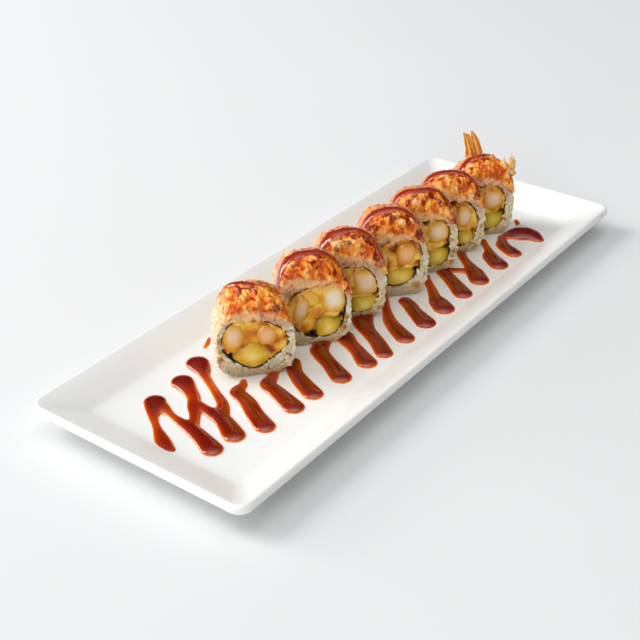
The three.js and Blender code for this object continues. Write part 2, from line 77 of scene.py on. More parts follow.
# The room's light: a glow all round, more of it overhead and a band along the horizon
SKY_GLOW = 0.015
SKY_LIGHT = 2.45
SKY_FALL = 8.0
HORIZON_LIGHT = 0.6
HORIZON_FALL = 6.0
# Direction, distance, width and power of each lamp
LAMPS = {"key": ((-0.36, 0.64, 0.68), 3.4, 1.6, 64), "fill": ((-0.9, -0.3, 0.3), 4.4, 2.6, 74),
         "window": ((-0.34, 0.88, 0.26), 2.8, 1.1, 25)}


def srgb(red, green, blue):
    """A colour as it looks on a screen, from 0 to 255, as a shader's own values."""
    def linear(level):
        level /= 255
        return level / 12.92 if level <= 0.04045 else ((level + 0.055) / 1.055) ** 2.4
    return (linear(red), linear(green), linear(blue), 1.0)


def add(tree, kind, inputs=None, **settings):
    """A shader node. Its inputs are set to values, or fed by the sockets given for them."""
    made = tree.nodes.new("ShaderNode" + kind)
    for key, value in settings.items():
        setattr(made, key, value)
    for key, value in (inputs or {}).items():
        socket = made.inputs[key]
        if isinstance(value, bpy.types.NodeSocket):
            tree.links.new(value, socket)
        else:
            socket.default_value = value
    return made


def reckon(tree, operation, *values, **settings):
    """Values and patterns put together by a named operation of the Math node."""
    return add(tree, "Math", dict(enumerate(values)), operation=operation, **settings).outputs["Value"]


def blend(tree, factor, below, above, **settings):
    """One colour over another."""
    colours = {"Factor": factor, "A": below, "B": above}
    return add(tree, "Mix", colours, data_type="RGBA", **settings).outputs["Result"]


def place_of(tree):
    """The place on the object, for patterns that stay with it."""
    return add(tree, "TexCoord").outputs["Object"]


def new_grain_group():
    """The grain of every surface here, as a group of shader nodes. Grain is the noise itself, Level
    a mark made uneven by it, and Normal a surface roughened by it."""
    group = bpy.data.node_groups.new("grain", "ShaderNodeTree")
    for name in ("Scale", "Detail", "Mark", "Amount", "Shift", "Strength", "Distance"):
        group.interface.new_socket(name, in_out="INPUT", socket_type="NodeSocketFloat")
    for name, kind in (("Grain", "Float"), ("Level", "Float"), ("Normal", "Vector")):
        group.interface.new_socket(name, in_out="OUTPUT", socket_type="NodeSocket" + kind)
    given = group.nodes.new("NodeGroupInput").outputs
    grain = add(group, "TexNoise", {"Vector": place_of(group), "Scale": given["Scale"],
                                    "Detail": given["Detail"]}).outputs["Fac"]
    spread = reckon(group, "MULTIPLY_ADD", grain, given["Amount"], given["Shift"])
    level = reckon(group, "ADD", given["Mark"], spread)
    bump = add(group, "Bump", {"Height": grain, "Strength": given["Strength"], "Distance": given["Distance"]})
    put_out = group.nodes.new("NodeGroupOutput").inputs
    for name, socket in (("Grain", grain), ("Level", level), ("Normal", bump.outputs["Normal"])):
        group.links.new(socket, put_out[name])
    return group


grain_group = new_grain_group()


def grained(tree, scale, detail, mark=0.0, amount=0.0, shift=0.0, strength=0.0, distance=0.0):
    """The grain group placed in a material with its own values, the distance in millimetres."""
    return add(tree, "Group", {"Scale": scale, "Detail": detail, "Mark": mark, "Amount": amount,
                               "Shift": shift, "Strength": strength, "Distance": distance * MM},
               node_tree=grain_group).outputs


def new_material(name, **values):
    """A material, its nodes and its shader, with the shader's constant values set."""
    made = bpy.data.materials.new(name)
    made.use_nodes = True
    shader = made.node_tree.nodes["Principled BSDF"]
    for key, value in values.items():
        shader.inputs[key.replace("_", " ")].default_value = value
    return made, made.node_tree, shader


def feed(tree, shader, **patterns):
    """Leads patterns to the shader's sockets."""
    for key, pattern in patterns.items():
        tree.links.new(pattern, shader.inputs[key.replace("_", " ")])


def mesh_of(name, bm):
    """The finished form as a mesh."""
    mesh = bpy.data.meshes.new(name)
    bm.to_mesh(mesh)
    bm.free()
    return mesh


floor_form = bmesh.new()
bmesh.ops.create_grid(floor_form, x_segments=1, y_segments=1, size=FLOOR_SIZE / 2)
floor = bpy.data.objects.new("floor", mesh_of("floor", floor_form))
bpy.context.scene.collection.objects.link(floor)
paper, tree, shader = new_material("white_paper", Roughness=0.9, Specular_IOR_Level=0.1)
fibre = grained(tree, 3.0, 2.0)["Grain"]
feed(tree, shader, Base_Color=blend(tree, fibre, *(srgb(*colour) for colour in FLOOR_COLOURS)))
floor.data.materials.append(paper)

world = bpy.data.worlds.new("room")
world.use_nodes = True
sky = world.node_tree
background = sky.nodes["Background"]
background.inputs["Color"].default_value = srgb(*ROOM_COLOUR)
upward = add(sky, "SeparateXYZ", {"Vector": add(sky, "TexCoord").outputs["Generated"]}).outputs["Z"]
upward = reckon(sky, "MAXIMUM", upward, 0.0)
overhead = reckon(sky, "POWER", upward, SKY_FALL)
glow = reckon(sky, "MULTIPLY_ADD", overhead, SKY_LIGHT, SKY_GLOW)
level = reckon(sky, "POWER", reckon(sky, "SUBTRACT", 1.0, upward), HORIZON_FALL)
glow = reckon(sky, "MULTIPLY_ADD", level, HORIZON_LIGHT, glow)
sky.links.new(glow, background.inputs["Strength"])
bpy.context.scene.world = world

for name, (direction, distance, width, power) in LAMPS.items():
    lamp = bpy.data.objects.new(name, bpy.data.lights.new(name, "AREA"))
    lamp.data.size = width
    lamp.data.energy = power
    lamp.location = Vector(direction).normalized() * distance
    lamp.rotation_euler = Vector(direction).to_track_quat("Z", "Y").to_euler()
    bpy.context.scene.collection.objects.link(lamp)

# Plate. One pressed slab of white glazed porcelain: a flat well, a broad sloped rim with a rolled
# edge, a flared underside and a foot ring, whose ground face is left bare of glaze.
_, plate_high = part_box("plate")
HALF_LENGTH = plate_high.x / MM
HALF_WIDTH = plate_high.y / MM
WELL_FLOOR = 8.0
# The rim's breadth along the sides, and how much broader it is at the ends
RIM_RUN = 22.4
END_STRETCH = 1.14
# Corner radii of the edge and of the well
EDGE_RADIUS = 7.5
WELL_RADIUS = 5.0
# The share of each quarter turn's points that goes to the round corner
ARC_SHARE = 0.55
PLATE_POINTS = 96
# Points nearer than this, in millimetres, are one
WELD = 1e-4
# The plate's section as (distance in from the edge, height), from the middle of its underside, out
# round the lip and in to the middle of the well
UNDERSIDE = [(60, 1.9), (36, 1.8), (34.4, 1.3), (34, 0.2), (33.6, 0), (30.4, 0), (30, 0.2), (28.2, 3.2),
             (27, 3.7), (18, 6.4), (12.3, 9.0), (5.0, 12.3)]
LIP = [(2.4, 13.5), (0.7, 13.95), (0.12, 14.6), (0.02, 15.6), (0.12, 17.4), (0.45, 18.35), (1.05, 18.85),
       (1.7, 18.95), (2.5, 18.7), (3.8, 18.15), (6.0, 17.1)]
CREASE = [(16.6, 10.9), (19.0, 9.5), (21.2, 8.6), (24.2, 8.15), (28.3, 8.0)]
WELL = [(inset, WELL_FLOOR) for inset in (34, 46, 60)]
# The foot's ground face, up to this height, is left bare of glaze
FOOT_BARE = 0.15


def eased(a, b, c, d, t):
    """The place so far from b to c, on a smooth curve through all four."""
    return 0.5 * (2 * b + (c - a) * t + (2 * a - 5 * b + 4 * c - d) * t ** 2
                  + (3 * b - a - 3 * c + d) * t ** 3)


def smooth_run(points, steps):
    """Points along a smooth curve through the given ones, so many steps to each stretch."""
    through = np.array(points, float)
    ends = np.vstack([2 * through[0] - through[1], through, 2 * through[-1] - through[-2]])
    run = [eased(a, b, c, d, t) for a, b, c, d in zip(ends, ends[1:], ends[2:], ends[3:])
           for t in np.linspace(0, 1, steps, endpoint=False)]
    return np.array(run + [through[-1]])


def round_rectangle(turn, half_x, half_y, radius):
    """A point on a rectangle with round corners, so far round it."""
    quarter, share = divmod(turn * 4, 1)
    angle = (quarter + min(share / ARC_SHARE, 1)) * math.pi / 2
    straight = max(0, share - ARC_SHARE) / (1 - ARC_SHARE)
    corners = [(1, 1), (-1, 1), (-1, -1), (1, -1)]
    here = corners[int(quarter) % 4]
    after = corners[(int(quarter) + 1) % 4]
    x, y = (half * (1 - straight) * a + half * straight * b
            for half, a, b in zip((half_x - radius, half_y - radius), here, after))
    return x + radius * math.cos(angle), y + radius * math.sin(angle)


def close_up(bm):
    """Welds seams, fills open ends and turns every face outwards."""
    bmesh.ops.remove_doubles(bm, verts=bm.verts, dist=WELD)
    bmesh.ops.holes_fill(bm, edges=[edge for edge in bm.edges if edge.is_boundary])
    bmesh.ops.recalc_face_normals(bm, faces=bm.faces)
    return bm


def bent_sheet(columns, rows, place):
    """A grid bent by place(turn, step) into a tube or bowl, its seams and poles welded shut."""
    bm = bmesh.new()
    bmesh.ops.create_grid(bm, x_segments=columns, y_segments=rows, size=0.5)
    for vertex in bm.verts:
        vertex.co = place(vertex.co.x + 0.5, vertex.co.y + 0.5)
    return close_up(bm)


def finish_piece(name, bm, place, material, node):
    """Makes the piece's object, rides it on the serving and lets it stand for its CAD node."""
    mesh = mesh_of(name, bm)
    mesh.transform(place)
    mesh.shade_smooth()
    mesh.materials.append(material)
    piece = bpy.data.objects.new(name, mesh)
    bpy.context.scene.collection.objects.link(piece)
    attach(piece, "root")
    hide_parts(node)


plate_profile = [*UNDERSIDE, *smooth_run(LIP, 4), *smooth_run(CREASE, 4), *WELL]


def plate_point(turn, step):
    inset, height = plate_profile[round(step * (len(plate_profile) - 1))]
    radius = EDGE_RADIUS + (WELL_RADIUS - EDGE_RADIUS) * min(1, inset / RIM_RUN)
    x, y = round_rectangle(turn, HALF_LENGTH - inset * END_STRETCH, HALF_WIDTH - inset, radius)
    return x, y, height


def between(tree, value, low, high):
    """A value from 0 to 1, spread from low to high."""
    return add(tree, "MapRange", {"Value": value, "To Min": low, "To Max": high}).outputs["Result"]


glaze, tree, shader = new_material("white_glaze", Specular_IOR_Level=0.5)
height = add(tree, "SeparateXYZ", {"Vector": place_of(tree)}).outputs["Z"]
bare = reckon(tree, "LESS_THAN", height, FOOT_BARE * MM)
cloud = grained(tree, 14.0, 3.0)["Grain"]
white = blend(tree, cloud, srgb(243, 244, 241), srgb(247, 248, 245))
feed(tree, shader, Base_Color=blend(tree, bare, white, srgb(214, 205, 190)),
     Roughness=reckon(tree, "MULTIPLY_ADD", bare, 0.6, between(tree, cloud, 0.2, 0.3)),
     Normal=grained(tree, 90.0, 1.0, strength=0.05, distance=0.4)["Normal"])
plate_form = bent_sheet(PLATE_POINTS, len(plate_profile) - 1, plate_point)
finish_piece("plate_body", plate_form, Matrix.Scale(MM, 4), glaze, "plate")

# Sauce on the plate. Sweet dark sauce squeezed from a bottle in one zigzag, so that each stroke is
# a low dome with a fuller blob at its end, thin and amber where it runs out.
# Runs of (x, y, width) on the plate
STROKES = [
    [(-174, -4.5, 7), (-170.5, 3, 8.4), (-164, 13, 4.6), (-158.5, 20.5, 5), (-152, 26, 10),
     (-147.5, 30, 12.4)],
    [(-148.5, 24, 8), (-151, 15, 4.6), (-152.5, 7, 6), (-153.5, -1, 8.6), (-156.5, -11, 9.6),
     (-160.5, -21.5, 12)],
    [(-124.5, 31, 12.8), (-128, 23, 9), (-132, 16, 7.4), (-138, 10.5, 7.4), (-144, 4.5, 6), (-150, 0, 6)],
    [(-135.5, 11, 6.6), (-136.5, 2, 7), (-136.5, -3, 9.6), (-139, -12, 10.2), (-145, -23, 12.4)],
    [(-105.6, 36.6, 13.4), (-109, 30, 9.4), (-113, 24, 5.4), (-121, 10, 5), (-127, 0, 6.4), (-134, -6, 8)],
    [(-103.8, 4.6, 3.6), (-108, 2, 5.6), (-114, 0.5, 8.6), (-118, -10, 9.4), (-124, -20, 10),
     (-129.5, -31, 11.6)],
    [(-86, -3, 6), (-92, -6, 7), (-98.5, -8.5, 9.4), (-102, -19, 10.2), (-107, -32.5, 12.2)],
    [(-73, -6, 9), (-80, -13, 9), (-85, -21, 10.2), (-91, -33.5, 11.8)],
    [(-46, -7, 10), (-54, -10.5, 11), (-58, -16, 10.4), (-62, -24, 10), (-69, -36.5, 12.4)],
    [(-34, -14, 12), (-37.5, -20, 10), (-42, -29, 9.6), (-48.5, -39.6, 12.2)],
    [(-9, -9, 14), (-16, -15, 12), (-21, -22, 10), (-27, -32, 10), (-34.5, -42, 10.6)],
    [(18.5, -8.4, 2.6), (11, -12.5, 5), (4, -18.5, 6), (-3, -25, 8.4), (-8, -32, 10), (-14, -42.8, 12)],
    [(21.5, -20, 9), (19, -25, 9.4), (14, -32, 10), (7.5, -43.4, 12.8)],
    [(57, -14, 2.6), (51, -17.5, 5), (44.5, -24.5, 6), (36.5, -32, 8), (32.5, -37, 12), (28, -43.6, 13.6)],
    [(68, -17, 9), (65, -22, 9.6), (58.5, -32, 10.4), (50.5, -43.5, 12.4)],
    [(101, -13, 5), (95, -16, 6), (89, -22, 6), (82, -31, 8.6), (77, -37, 12), (71, -43.2, 13)],
    [(71, -20, 5), (74, -26.5, 6), (77.5, -32, 7)],
    [(119, -18.6, 4.4), (115, -22, 5), (109, -28.5, 6), (102, -34, 11), (95.8, -43.2, 12.8)],
    [(131, -25.6, 5), (126, -29, 7), (120.5, -33, 9.6), (115.3, -43.4, 11)],
    [(133.5, -27.4, 7), (138, -31, 13), (143.5, -35, 19), (144.5, -41, 14), (142, -48, 7)],
    [(148, -32.5, 12), (152.4, -27.4, 5), (156, -24, 3.6), (158.6, -21.6, 3)],
    [(-91, 44, 2), (-86.5, 45.8, 3), (-81, 49, 1.8)],
]
STROKE_RISE = 0.35
STROKE_RISE_PER_WIDTH = 0.17
STROKE_STEPS = 9
STROKE_VOXEL = 0.58
STROKE_SMOOTHINGS = 7
STROKE_SPREAD = 1.1
STROKE_SHIFT = Vector((0.5, 0.6, 0))
# How the strokes climb the foot of the rim
RIM_SLOPE_START = HALF_WIDTH - RIM_RUN
RIM_SLOPE_ROOM = 2
RIM_SLOPE = (18.5 - 9.4) / (18.2 - 3.7)
RIM_SLOPE_SHARE = 0.6
STROKE_SINK = 0.3
# The depth of sauce that looks darkest
THICK_SAUCE = 2.2
BATCH = 40


def remeshed(bm, voxel, smoothings):
    """The same form as one even skin of small faces, smoothed so many times. All in millimetres."""
    mesh = mesh_of("form", bm)
    form = bpy.data.objects.new("form", mesh)
    bpy.context.scene.collection.objects.link(form)
    skin = form.modifiers.new("skin", "REMESH")
    skin.mode = "VOXEL"
    skin.voxel_size = voxel
    evaluated = form.evaluated_get(bpy.context.evaluated_depsgraph_get())
    fine = bmesh.new()
    fine.from_mesh(evaluated.data)
    bpy.data.objects.remove(form)
    bpy.data.meshes.remove(mesh)
    for _ in range(smoothings):
        bmesh.ops.smooth_vert(fine, verts=fine.verts, factor=0.5,
                              use_axis_x=True, use_axis_y=True, use_axis_z=True)
    return fine


def take_in(whole, part):
    """Adds a part to a form."""
    mesh = mesh_of("part", part)
    whole.from_mesh(mesh)
    bpy.data.meshes.remove(mesh)


def balls(places):
    """One round ball for each of the places, stretched and turned by it."""
    whole = bmesh.new()
    for start in range(0, len(places), BATCH):
        part = bmesh.new()
        for place in places[start:start + BATCH]:
            bmesh.ops.create_icosphere(part, subdivisions=2, radius=1, matrix=place)
        take_in(whole, part)
    return whole


def floor_height(y):
    """Height of the well, and of the rim's slope behind it."""
    climb = max(0, abs(y) - RIM_SLOPE_START - RIM_SLOPE_ROOM)
    return WELL_FLOOR + climb * RIM_SLOPE * RIM_SLOPE_SHARE


def sauce_strokes():
    drops = []
    for stroke in STROKES:
        for x, y, width in smooth_run(stroke, STROKE_STEPS):
            rise = STROKE_RISE + STROKE_RISE_PER_WIDTH * width
            radius = (width + STROKE_SPREAD) / 2
            size = Matrix.Diagonal((radius, radius, rise, 1))
            drops.append(Matrix.Translation(Vector((x, y, floor_height(y))) + STROKE_SHIFT) @ size)
    fine = remeshed(balls(drops), STROKE_VOXEL, STROKE_SMOOTHINGS)
    for vertex in fine.verts:
        vertex.co.z = max(vertex.co.z, floor_height(vertex.co.y) - STROKE_SINK)
    return fine


def mark(bm, name, value):
    """Writes a value from 0 to 1 at every vertex, for the material to read."""
    layer = bm.verts.layers.float.new(name)
    for vertex in bm.verts:
        vertex[layer] = value(vertex.co)
    return bm


def marked(tree, name):
    """A mark on the piece, as its material reads it."""
    return add(tree, "Attribute", attribute_name=name).outputs["Fac"]


def ramp(tree, factor, *stops):
    """Colours along a value from 0 to 1, each given as its place, red, green and blue."""
    made = add(tree, "ValToRGB", {"Fac": factor})
    keys = made.color_ramp.elements
    for place, *_ in stops[2:]:
        keys.new(place)
    for key, (place, *colour) in zip(keys, stops):
        key.position = place
        key.color = srgb(*colour)
    return made.outputs["Color"]


sauce_look, tree, shader = new_material(
    "dark_sauce", Roughness=0.06, Specular_IOR_Level=0.6, Coat_Weight=0.25, Coat_Roughness=0.03)
depth = grained(tree, 75.0, 2.0, marked(tree, "thick"), 0.5, -0.22)["Level"]
feed(tree, shader, Base_Color=ramp(tree, depth, (0, 246, 190, 96), (0.14, 236, 140, 26),
                                   (0.36, 210, 86, 5), (0.6, 168, 44, 1), (0.86, 120, 20, 0)))
strokes = mark(sauce_strokes(), "thick", lambda co: (co.z - floor_height(co.y)) / THICK_SAUCE)
finish_piece("plate_sauce", strokes, Matrix.Scale(MM, 4), sauce_look, "plate")

# Rice. Each slice stands on a ring of sticky cooked rice, 4 to 6 mm thick, rolled outside the
# seaweed. Grains lie along its sides and are cut through at both faces; the foot is painted darker.
ROW_TURN = math.radians(-42.24)
ROW_PLACE = Vector((-0.8, -2.1, 8.3))
SIDE_SQUARENESS = 2.7
BASE_SQUARENESS = 3.8
GRAIN = Vector((2.7, 1.25, 1.1))
GRAIN_STEP = 3.0
GRAIN_ROW = 2.3
# How far grains lean, and how deep they sink, least and most
GRAIN_LEAN = 0.55
GRAIN_SUNK = (0.55, 0.95)
# Grains reach so many degrees under the crust's edge
CRUST_ROOM = 4
# Grains at the cuts: columns round the ring, thickness of a layer, depth, and how many show an end
FACE_COLUMNS = 64
FACE_LAYER = 1.5
FACE_SINK = 0.55
END_ON_SHARE = 0.25
FACE_SQUASH = 0.12
# The core under the grains lies so far inside them, at the sides and at the cuts
CORE_INSET = 0.95
CORE_FACE_INSET = 0.75

# Each slice: its place along and across the row, depth, half widths, heights of the rice and of the
# crust, squareness of the crust's left and right side, angles at which the crust ends at the left
# and right, and the seaweed's distance from the middle at each eighth of a turn
Slice = collections.namedtuple("Slice", "across behind depth left right rice_top top domes lips nori")
SLICES = [
    Slice(-72.5, -59.2, 22.8, 21.5, 21.5, 40.5, 49.2, (3.1, 2.4), (142, 30),
          (18, 15.5, 14.5, 19.4, 19, 15.6, 15.5, 13.7)),
    Slice(-35.8, -34.0, 20.2, 21.0, 22.0, 42.5, 54.3, (3.3, 2.4), (146, 24),
          (18.7, 22, 16.6, 16.5, 16.6, 14.2, 16.8, 19.6)),
    Slice(-9.0, -11.4, 18.8, 21.0, 21.5, 42.0, 54.6, (3.3, 2.4), (146, 24),
          (16.3, 15.5, 14, 16, 17, 16, 16, 19.6)),
    Slice(22.3, 9.8, 21.8, 21.0, 21.5, 42.5, 54.5, (3.3, 2.4), (146, 34),
          (17, 20.4, 17.2, 17, 17.5, 14.2, 14, 15.2)),
    Slice(48.4, 34.0, 20.2, 21.8, 21.5, 42.0, 53.8, (3.3, 2.4), (146, 30),
          (16.3, 19, 17.2, 17.5, 17.5, 16, 16, 20)),
    Slice(73.6, 56.6, 18.2, 21.8, 21.5, 42.0, 53.6, (3.3, 2.4), (146, 24),
          (16.8, 17.6, 16.8, 17, 17.5, 16, 16.3, 18.8)),
    Slice(99.1, 77.2, 21.0, 19.5, 22.6, 41.5, 51.4, (2.1, 3.0), (138, 24),
          (16.8, 18.2, 14.6, 16.5, 16.5, 16, 17.3, 19.2)),
]
STAIN_DEPTH = 14
# Degrees over which the rice warms towards the crust
CRUST_WARMTH = 22
# Stains on the rice, as places on the cut face and their reach
STAINS = [
    [(-20, 12, 2.6), (-19.5, 17, 1.2), (-20.5, 24, 1.6), (17, 26, 1.8), (14.5, 2, 2)],
    [(17.5, 10, 3.4), (19.5, 16, 2.4), (-13, 33, 2)],
    [(18, 6, 2), (12, 2, 2.6)],
    [(15, 6, 3.8), (20, 14, 1.4)],
    [(17, 22, 2), (19.5, 14, 2.6), (18.5, 6, 2.8)],
    [(19.5, 18, 1.6), (16, 4, 1.6)],
    [(18, 10, 1.8), (19, 3, 2.6), (17, 28, 2)],
]


def in_place(cut):
    """Where a slice stands: its own millimetres to the serving's metres."""
    return (Matrix.Scale(MM, 4) @ Matrix.Translation(ROW_PLACE) @ Matrix.Rotation(ROW_TURN, 4, "Z")
            @ Matrix.Translation((cut.across, cut.behind, 0)))


def reach(angle, half_width, half_height, squareness):
    """Distance from the middle of a rounded block to its outline."""
    across = (abs(math.cos(angle)) / half_width) ** squareness
    up = (abs(math.sin(angle)) / half_height) ** squareness
    return (across + up) ** (-1 / squareness)


def rice_reach(cut, angle, grow=0):
    half = cut.right if math.cos(angle) > 0 else cut.left
    squareness = BASE_SQUARENESS if math.sin(angle) < 0 else SIDE_SQUARENESS
    return reach(angle, half + grow, cut.rice_top / 2 + grow, squareness)


def nori_reach(cut, angle):
    """The seaweed's distance from the middle, smooth through its eight named reaches."""
    at = angle / math.tau * 8
    i = math.floor(at)
    return eased(*(cut.nori[(i + k) % 8] for k in (-1, 0, 1, 2)), at - i)


def on_cut(cut, angle, r, y):
    return Vector((r * math.cos(angle), y, cut.rice_top / 2 + r * math.sin(angle)))


def ring_sheet(cut, columns, profile):
    """A closed ring. profile(angle) gives the loop of distances and depths of its cross section."""
    rows = len(profile(0)) - 1

    def place(turn, step):
        r, y = profile(turn * math.tau)[round(step * rows)]
        return on_cut(cut, turn * math.tau, r, y)
    return bent_sheet(columns, rows, place)


def grain_at(middle, long_way, side_way, rng):
    """Where a grain lies: its length along long_way, a little tilted."""
    flat_way = long_way.cross(side_way)
    turned = Matrix((long_way, side_way, flat_way)).transposed().to_4x4()
    tilt = Matrix.Rotation(rng.gauss(0, 0.16), 4, "Y") @ Matrix.Rotation(rng.gauss(0, 0.3), 4, "X")
    size = Matrix.Diagonal((*(GRAIN * rng.uniform(0.86, 1.12)), 1))
    return Matrix.Translation(middle) @ turned @ tilt @ size


def grain_places(cut, rng):
    """Grains all round the outside, then grains cut through at the front and the back."""
    places = []
    outline = [on_cut(cut, math.radians(a), rice_reach(cut, math.radians(a)), 0) for a in range(361)]
    lengths = np.cumsum([0] + [(b - a).length for a, b in zip(outline, outline[1:])])
    depth_way = Vector((0, 1, 0))
    for ring in range(round(cut.depth / GRAIN_ROW)):
        for k in range(round(lengths[-1] / GRAIN_STEP)):
            angle = math.radians(np.interp((k + rng.uniform(0, 1)) * GRAIN_STEP, lengths, range(361)))
            if cut.lips[1] + CRUST_ROOM < math.degrees(angle) < cut.lips[0] - CRUST_ROOM:
                continue
            ahead = on_cut(cut, angle + 0.02, rice_reach(cut, angle + 0.02), 0)
            here = on_cut(cut, angle, rice_reach(cut, angle), 0)
            along = (ahead - here).normalized()
            out = depth_way.cross(along)
            lean = rng.gauss(0, GRAIN_LEAN)
            long_way = along * math.cos(lean) + depth_way * math.sin(lean)
            side_way = depth_way * math.cos(lean) - along * math.sin(lean)
            y = (ring + rng.uniform(0.1, 0.9)) * cut.depth / round(cut.depth / GRAIN_ROW)
            sunk = rng.uniform(*GRAIN_SUNK)
            places.append(grain_at(here - out * sunk + depth_way * y, long_way, side_way, rng))
    for y in (FACE_SINK, cut.depth - FACE_SINK):
        for k in range(FACE_COLUMNS):
            angle = (k + rng.uniform(0, 1)) / FACE_COLUMNS * math.tau
            inner, outer = nori_reach(cut, angle) + 0.9, rice_reach(cut, angle) - 0.7
            for _ in range(max(1, round((outer - inner) / FACE_LAYER))):
                r = inner + (outer - inner) * rng.uniform(0, 1)
                along = Vector((-math.sin(angle), 0, math.cos(angle)))
                lean = rng.gauss(0, 0.5)
                out = Vector((math.cos(angle), 0, math.sin(angle)))
                long_way = along * math.cos(lean) + out * math.sin(lean)
                if rng.random() < END_ON_SHARE:
                    long_way = (depth_way + along * rng.uniform(-0.5, 0.5)).normalized()
                side_way = long_way.cross(out).normalized()
                places.append(grain_at(on_cut(cut, angle, r, y), long_way, side_way, rng))
    return places


def rice_block(cut, rng):
    """The grains, flattened at the cuts and the foot, over a core that closes the gaps. The mark
    "grain" is each grain's own tone, and 0 on the core, which is painted darker: painted shade in the gaps."""
    def loop(angle):
        inner = nori_reach(cut, angle) - 0.1
        outer = max(rice_reach(cut, angle, -CORE_INSET), inner + 0.3)
        front, middle, back = CORE_FACE_INSET, cut.depth / 2, cut.depth - CORE_FACE_INSET
        return [(inner, front), (outer, front), (outer, middle), (outer, back), (inner, back),
                (inner, middle), (inner, front)]
    places = grain_places(cut, rng)
    shades = [0.25 + 0.75 * rng.random() for _ in places]
    bm = balls(places)
    tint = bm.verts.layers.float.new("grain")
    for i, vertex in enumerate(bm.verts):
        vertex[tint] = shades[i * len(places) // len(bm.verts)]
        y, z = vertex.co.y, vertex.co.z
        vertex.co.y = y * FACE_SQUASH if y < 0 else y
        if y > cut.depth:
            vertex.co.y = cut.depth + (y - cut.depth) * FACE_SQUASH
        vertex.co.z = z if z > 0 else z * FACE_SQUASH
    take_in(bm, ring_sheet(cut, 96, loop))
    return bm


def unit(value):
    """The value, kept from 0 to 1."""
    return max(0, min(1, value))


def stain_at(spots, co):
    """How strongly the spots of stain colour a place on a slice, from 0 to 1."""
    value = 0
    for u, z, size in spots:
        wander = 1 + 0.5 * noise.noise(co * 0.5)
        away = math.hypot(co.x - u, co.z - z) / (size * wander)
        value = max(value, 1 - away * away)
    return value * max(0, 1 - co.y / STAIN_DEPTH)


def under_crust(cut, co):
    """Nearness to the topping's edge, from 0 to 1."""
    angle = math.degrees(math.atan2(co.z - cut.rice_top / 2, co.x))
    over = min(angle - cut.lips[1], cut.lips[0] - angle)
    return unit(0.5 + over / CRUST_WARMTH) if angle > -40 else 0


def darker_foot_at(co):
    """Darker and more brownish towards the foot, most of all under the fillings."""
    return 0.8 * unit((9 - co.z) / 7) * (1 if abs(co.x) < 17 else 0.35)


def step_up(tree, value, low, high):
    """0 below low, 1 above high and an even slope between."""
    return add(tree, "MapRange", {"Value": value, "From Min": low, "From Max": high}).outputs["Result"]


def finish_layer(number, layer, made, bm, material):
    """Finishes one layer of a slice in its place in the row, for the layer's CAD node."""
    finish_piece(f"slice_{number}_{layer}_{made}", bm, in_place(SLICES[number - 1]), material,
                 f"slice_{number}_{layer}")


rice_look, tree, shader = new_material(
    "cooked_rice", Roughness=0.38, Subsurface_Weight=0.35, Subsurface_Scale=1.6 * MM,
    Specular_IOR_Level=0.45, Subsurface_Radius=(1.0, 0.8, 0.6))
# The core seen between the grains is painted darker than any grain: painted shade in the gaps
colour = ramp(tree, marked(tree, "grain"), (0, 176, 144, 100), (0.25, 234, 204, 150),
              (0.6, 252, 232, 184), (1, 255, 253, 230))
speck = step_up(tree, grained(tree, 220.0, 3.0)["Grain"], 0.66, 0.72)
colour = blend(tree, reckon(tree, "MULTIPLY", speck, 0.35), colour, srgb(196, 140, 80))
# Tints over the grains: warmer near the crust, darker and more brownish towards the foot, and orange stains
for name, tint in (("warm", (230, 180, 142)), ("darker_foot", (188, 150, 98)), ("stain", (205, 128, 40))):
    colour = blend(tree, marked(tree, name), colour, srgb(*tint))
feed(tree, shader, Base_Color=colour)

for number, cut in enumerate(SLICES, 1):
    block = rice_block(cut, random.Random(number))
    mark(block, "warm", lambda co: max(under_crust(cut, co), 0.35 * unit((-co.x - 15) / 5)))
    mark(block, "darker_foot", darker_foot_at)
    mark(block, "stain", lambda co: stain_at(STAINS[number - 1], co))
    finish_layer(number, "rice", "grains", block, rice_look)

# Seaweed. One sheet of dark nori rolled round the fillings, about half a millimetre thick where it
# is wet, uneven at the cut and loose from the fillings in places.
NORI_THICKNESS = 0.5

nori_look, tree, shader = new_material("nori", Roughness=0.42, Specular_IOR_Level=0.4)
cell = grained(tree, 500.0, 4.0, strength=0.5, distance=0.2)
feed(tree, shader, Base_Color=ramp(tree, cell["Grain"], (0.35, 20, 22, 14), (0.7, 44, 46, 28)),
     Normal=cell["Normal"])


def finish_layers(layer, made, form, material):
    """Finishes the same layer of all slices, shaped by form(slice, number)."""
    for number, cut in enumerate(SLICES, 1):
        finish_layer(number, layer, made, form(cut, number), material)


def nori_band(cut, seed):
    def loop(angle):
        spot = Vector((math.cos(angle), math.sin(angle), seed))
        outer = nori_reach(cut, angle) + 0.05 + 0.2 * noise.noise(spot * 2.7)
        thicker = max(0, noise.noise(spot * 2 + Vector((7, 0, 0))) + 0.1)
        inner = outer - NORI_THICKNESS * (0.35 + 1.8 * thicker)
        front = 0.2 + 0.3 * noise.noise(spot * 6)
        back = cut.depth - 0.1 - 0.3 * noise.noise(spot * 6 + Vector((0, 9, 0)))
        return [(outer, front), (outer, cut.depth / 2), (outer, back), (inner, back),
                (inner, cut.depth / 2), (inner, front), (outer, front)]
    return ring_sheet(cut, 160, loop)


finish_layers("nori", "sheet", nori_band, nori_look)

# Shrimp. Two fried shrimp run through each slice. Cut across, each shows firm white flesh that
# turns golden towards its coat of batter.
SHRIMP_PROUD = 0.9
SHRIMP_EDGE = 0.9
# So much of each shrimp's width and height lies under its coat
SHRIMP_UNDER = 3.2
PLUG_ROWS = 14
PLUG_COLUMNS = 56
NORI_ROOM = 0.6
# How far each shrimp is stained gold by its coat
SHRIMP_GOLDS = [(0.5, 0.85), (0.55, 0), (0.3, 0.4), (0.5, 0.85), (0.4, 0.3), (0.4, 0.4), (0.4, 0.5)]
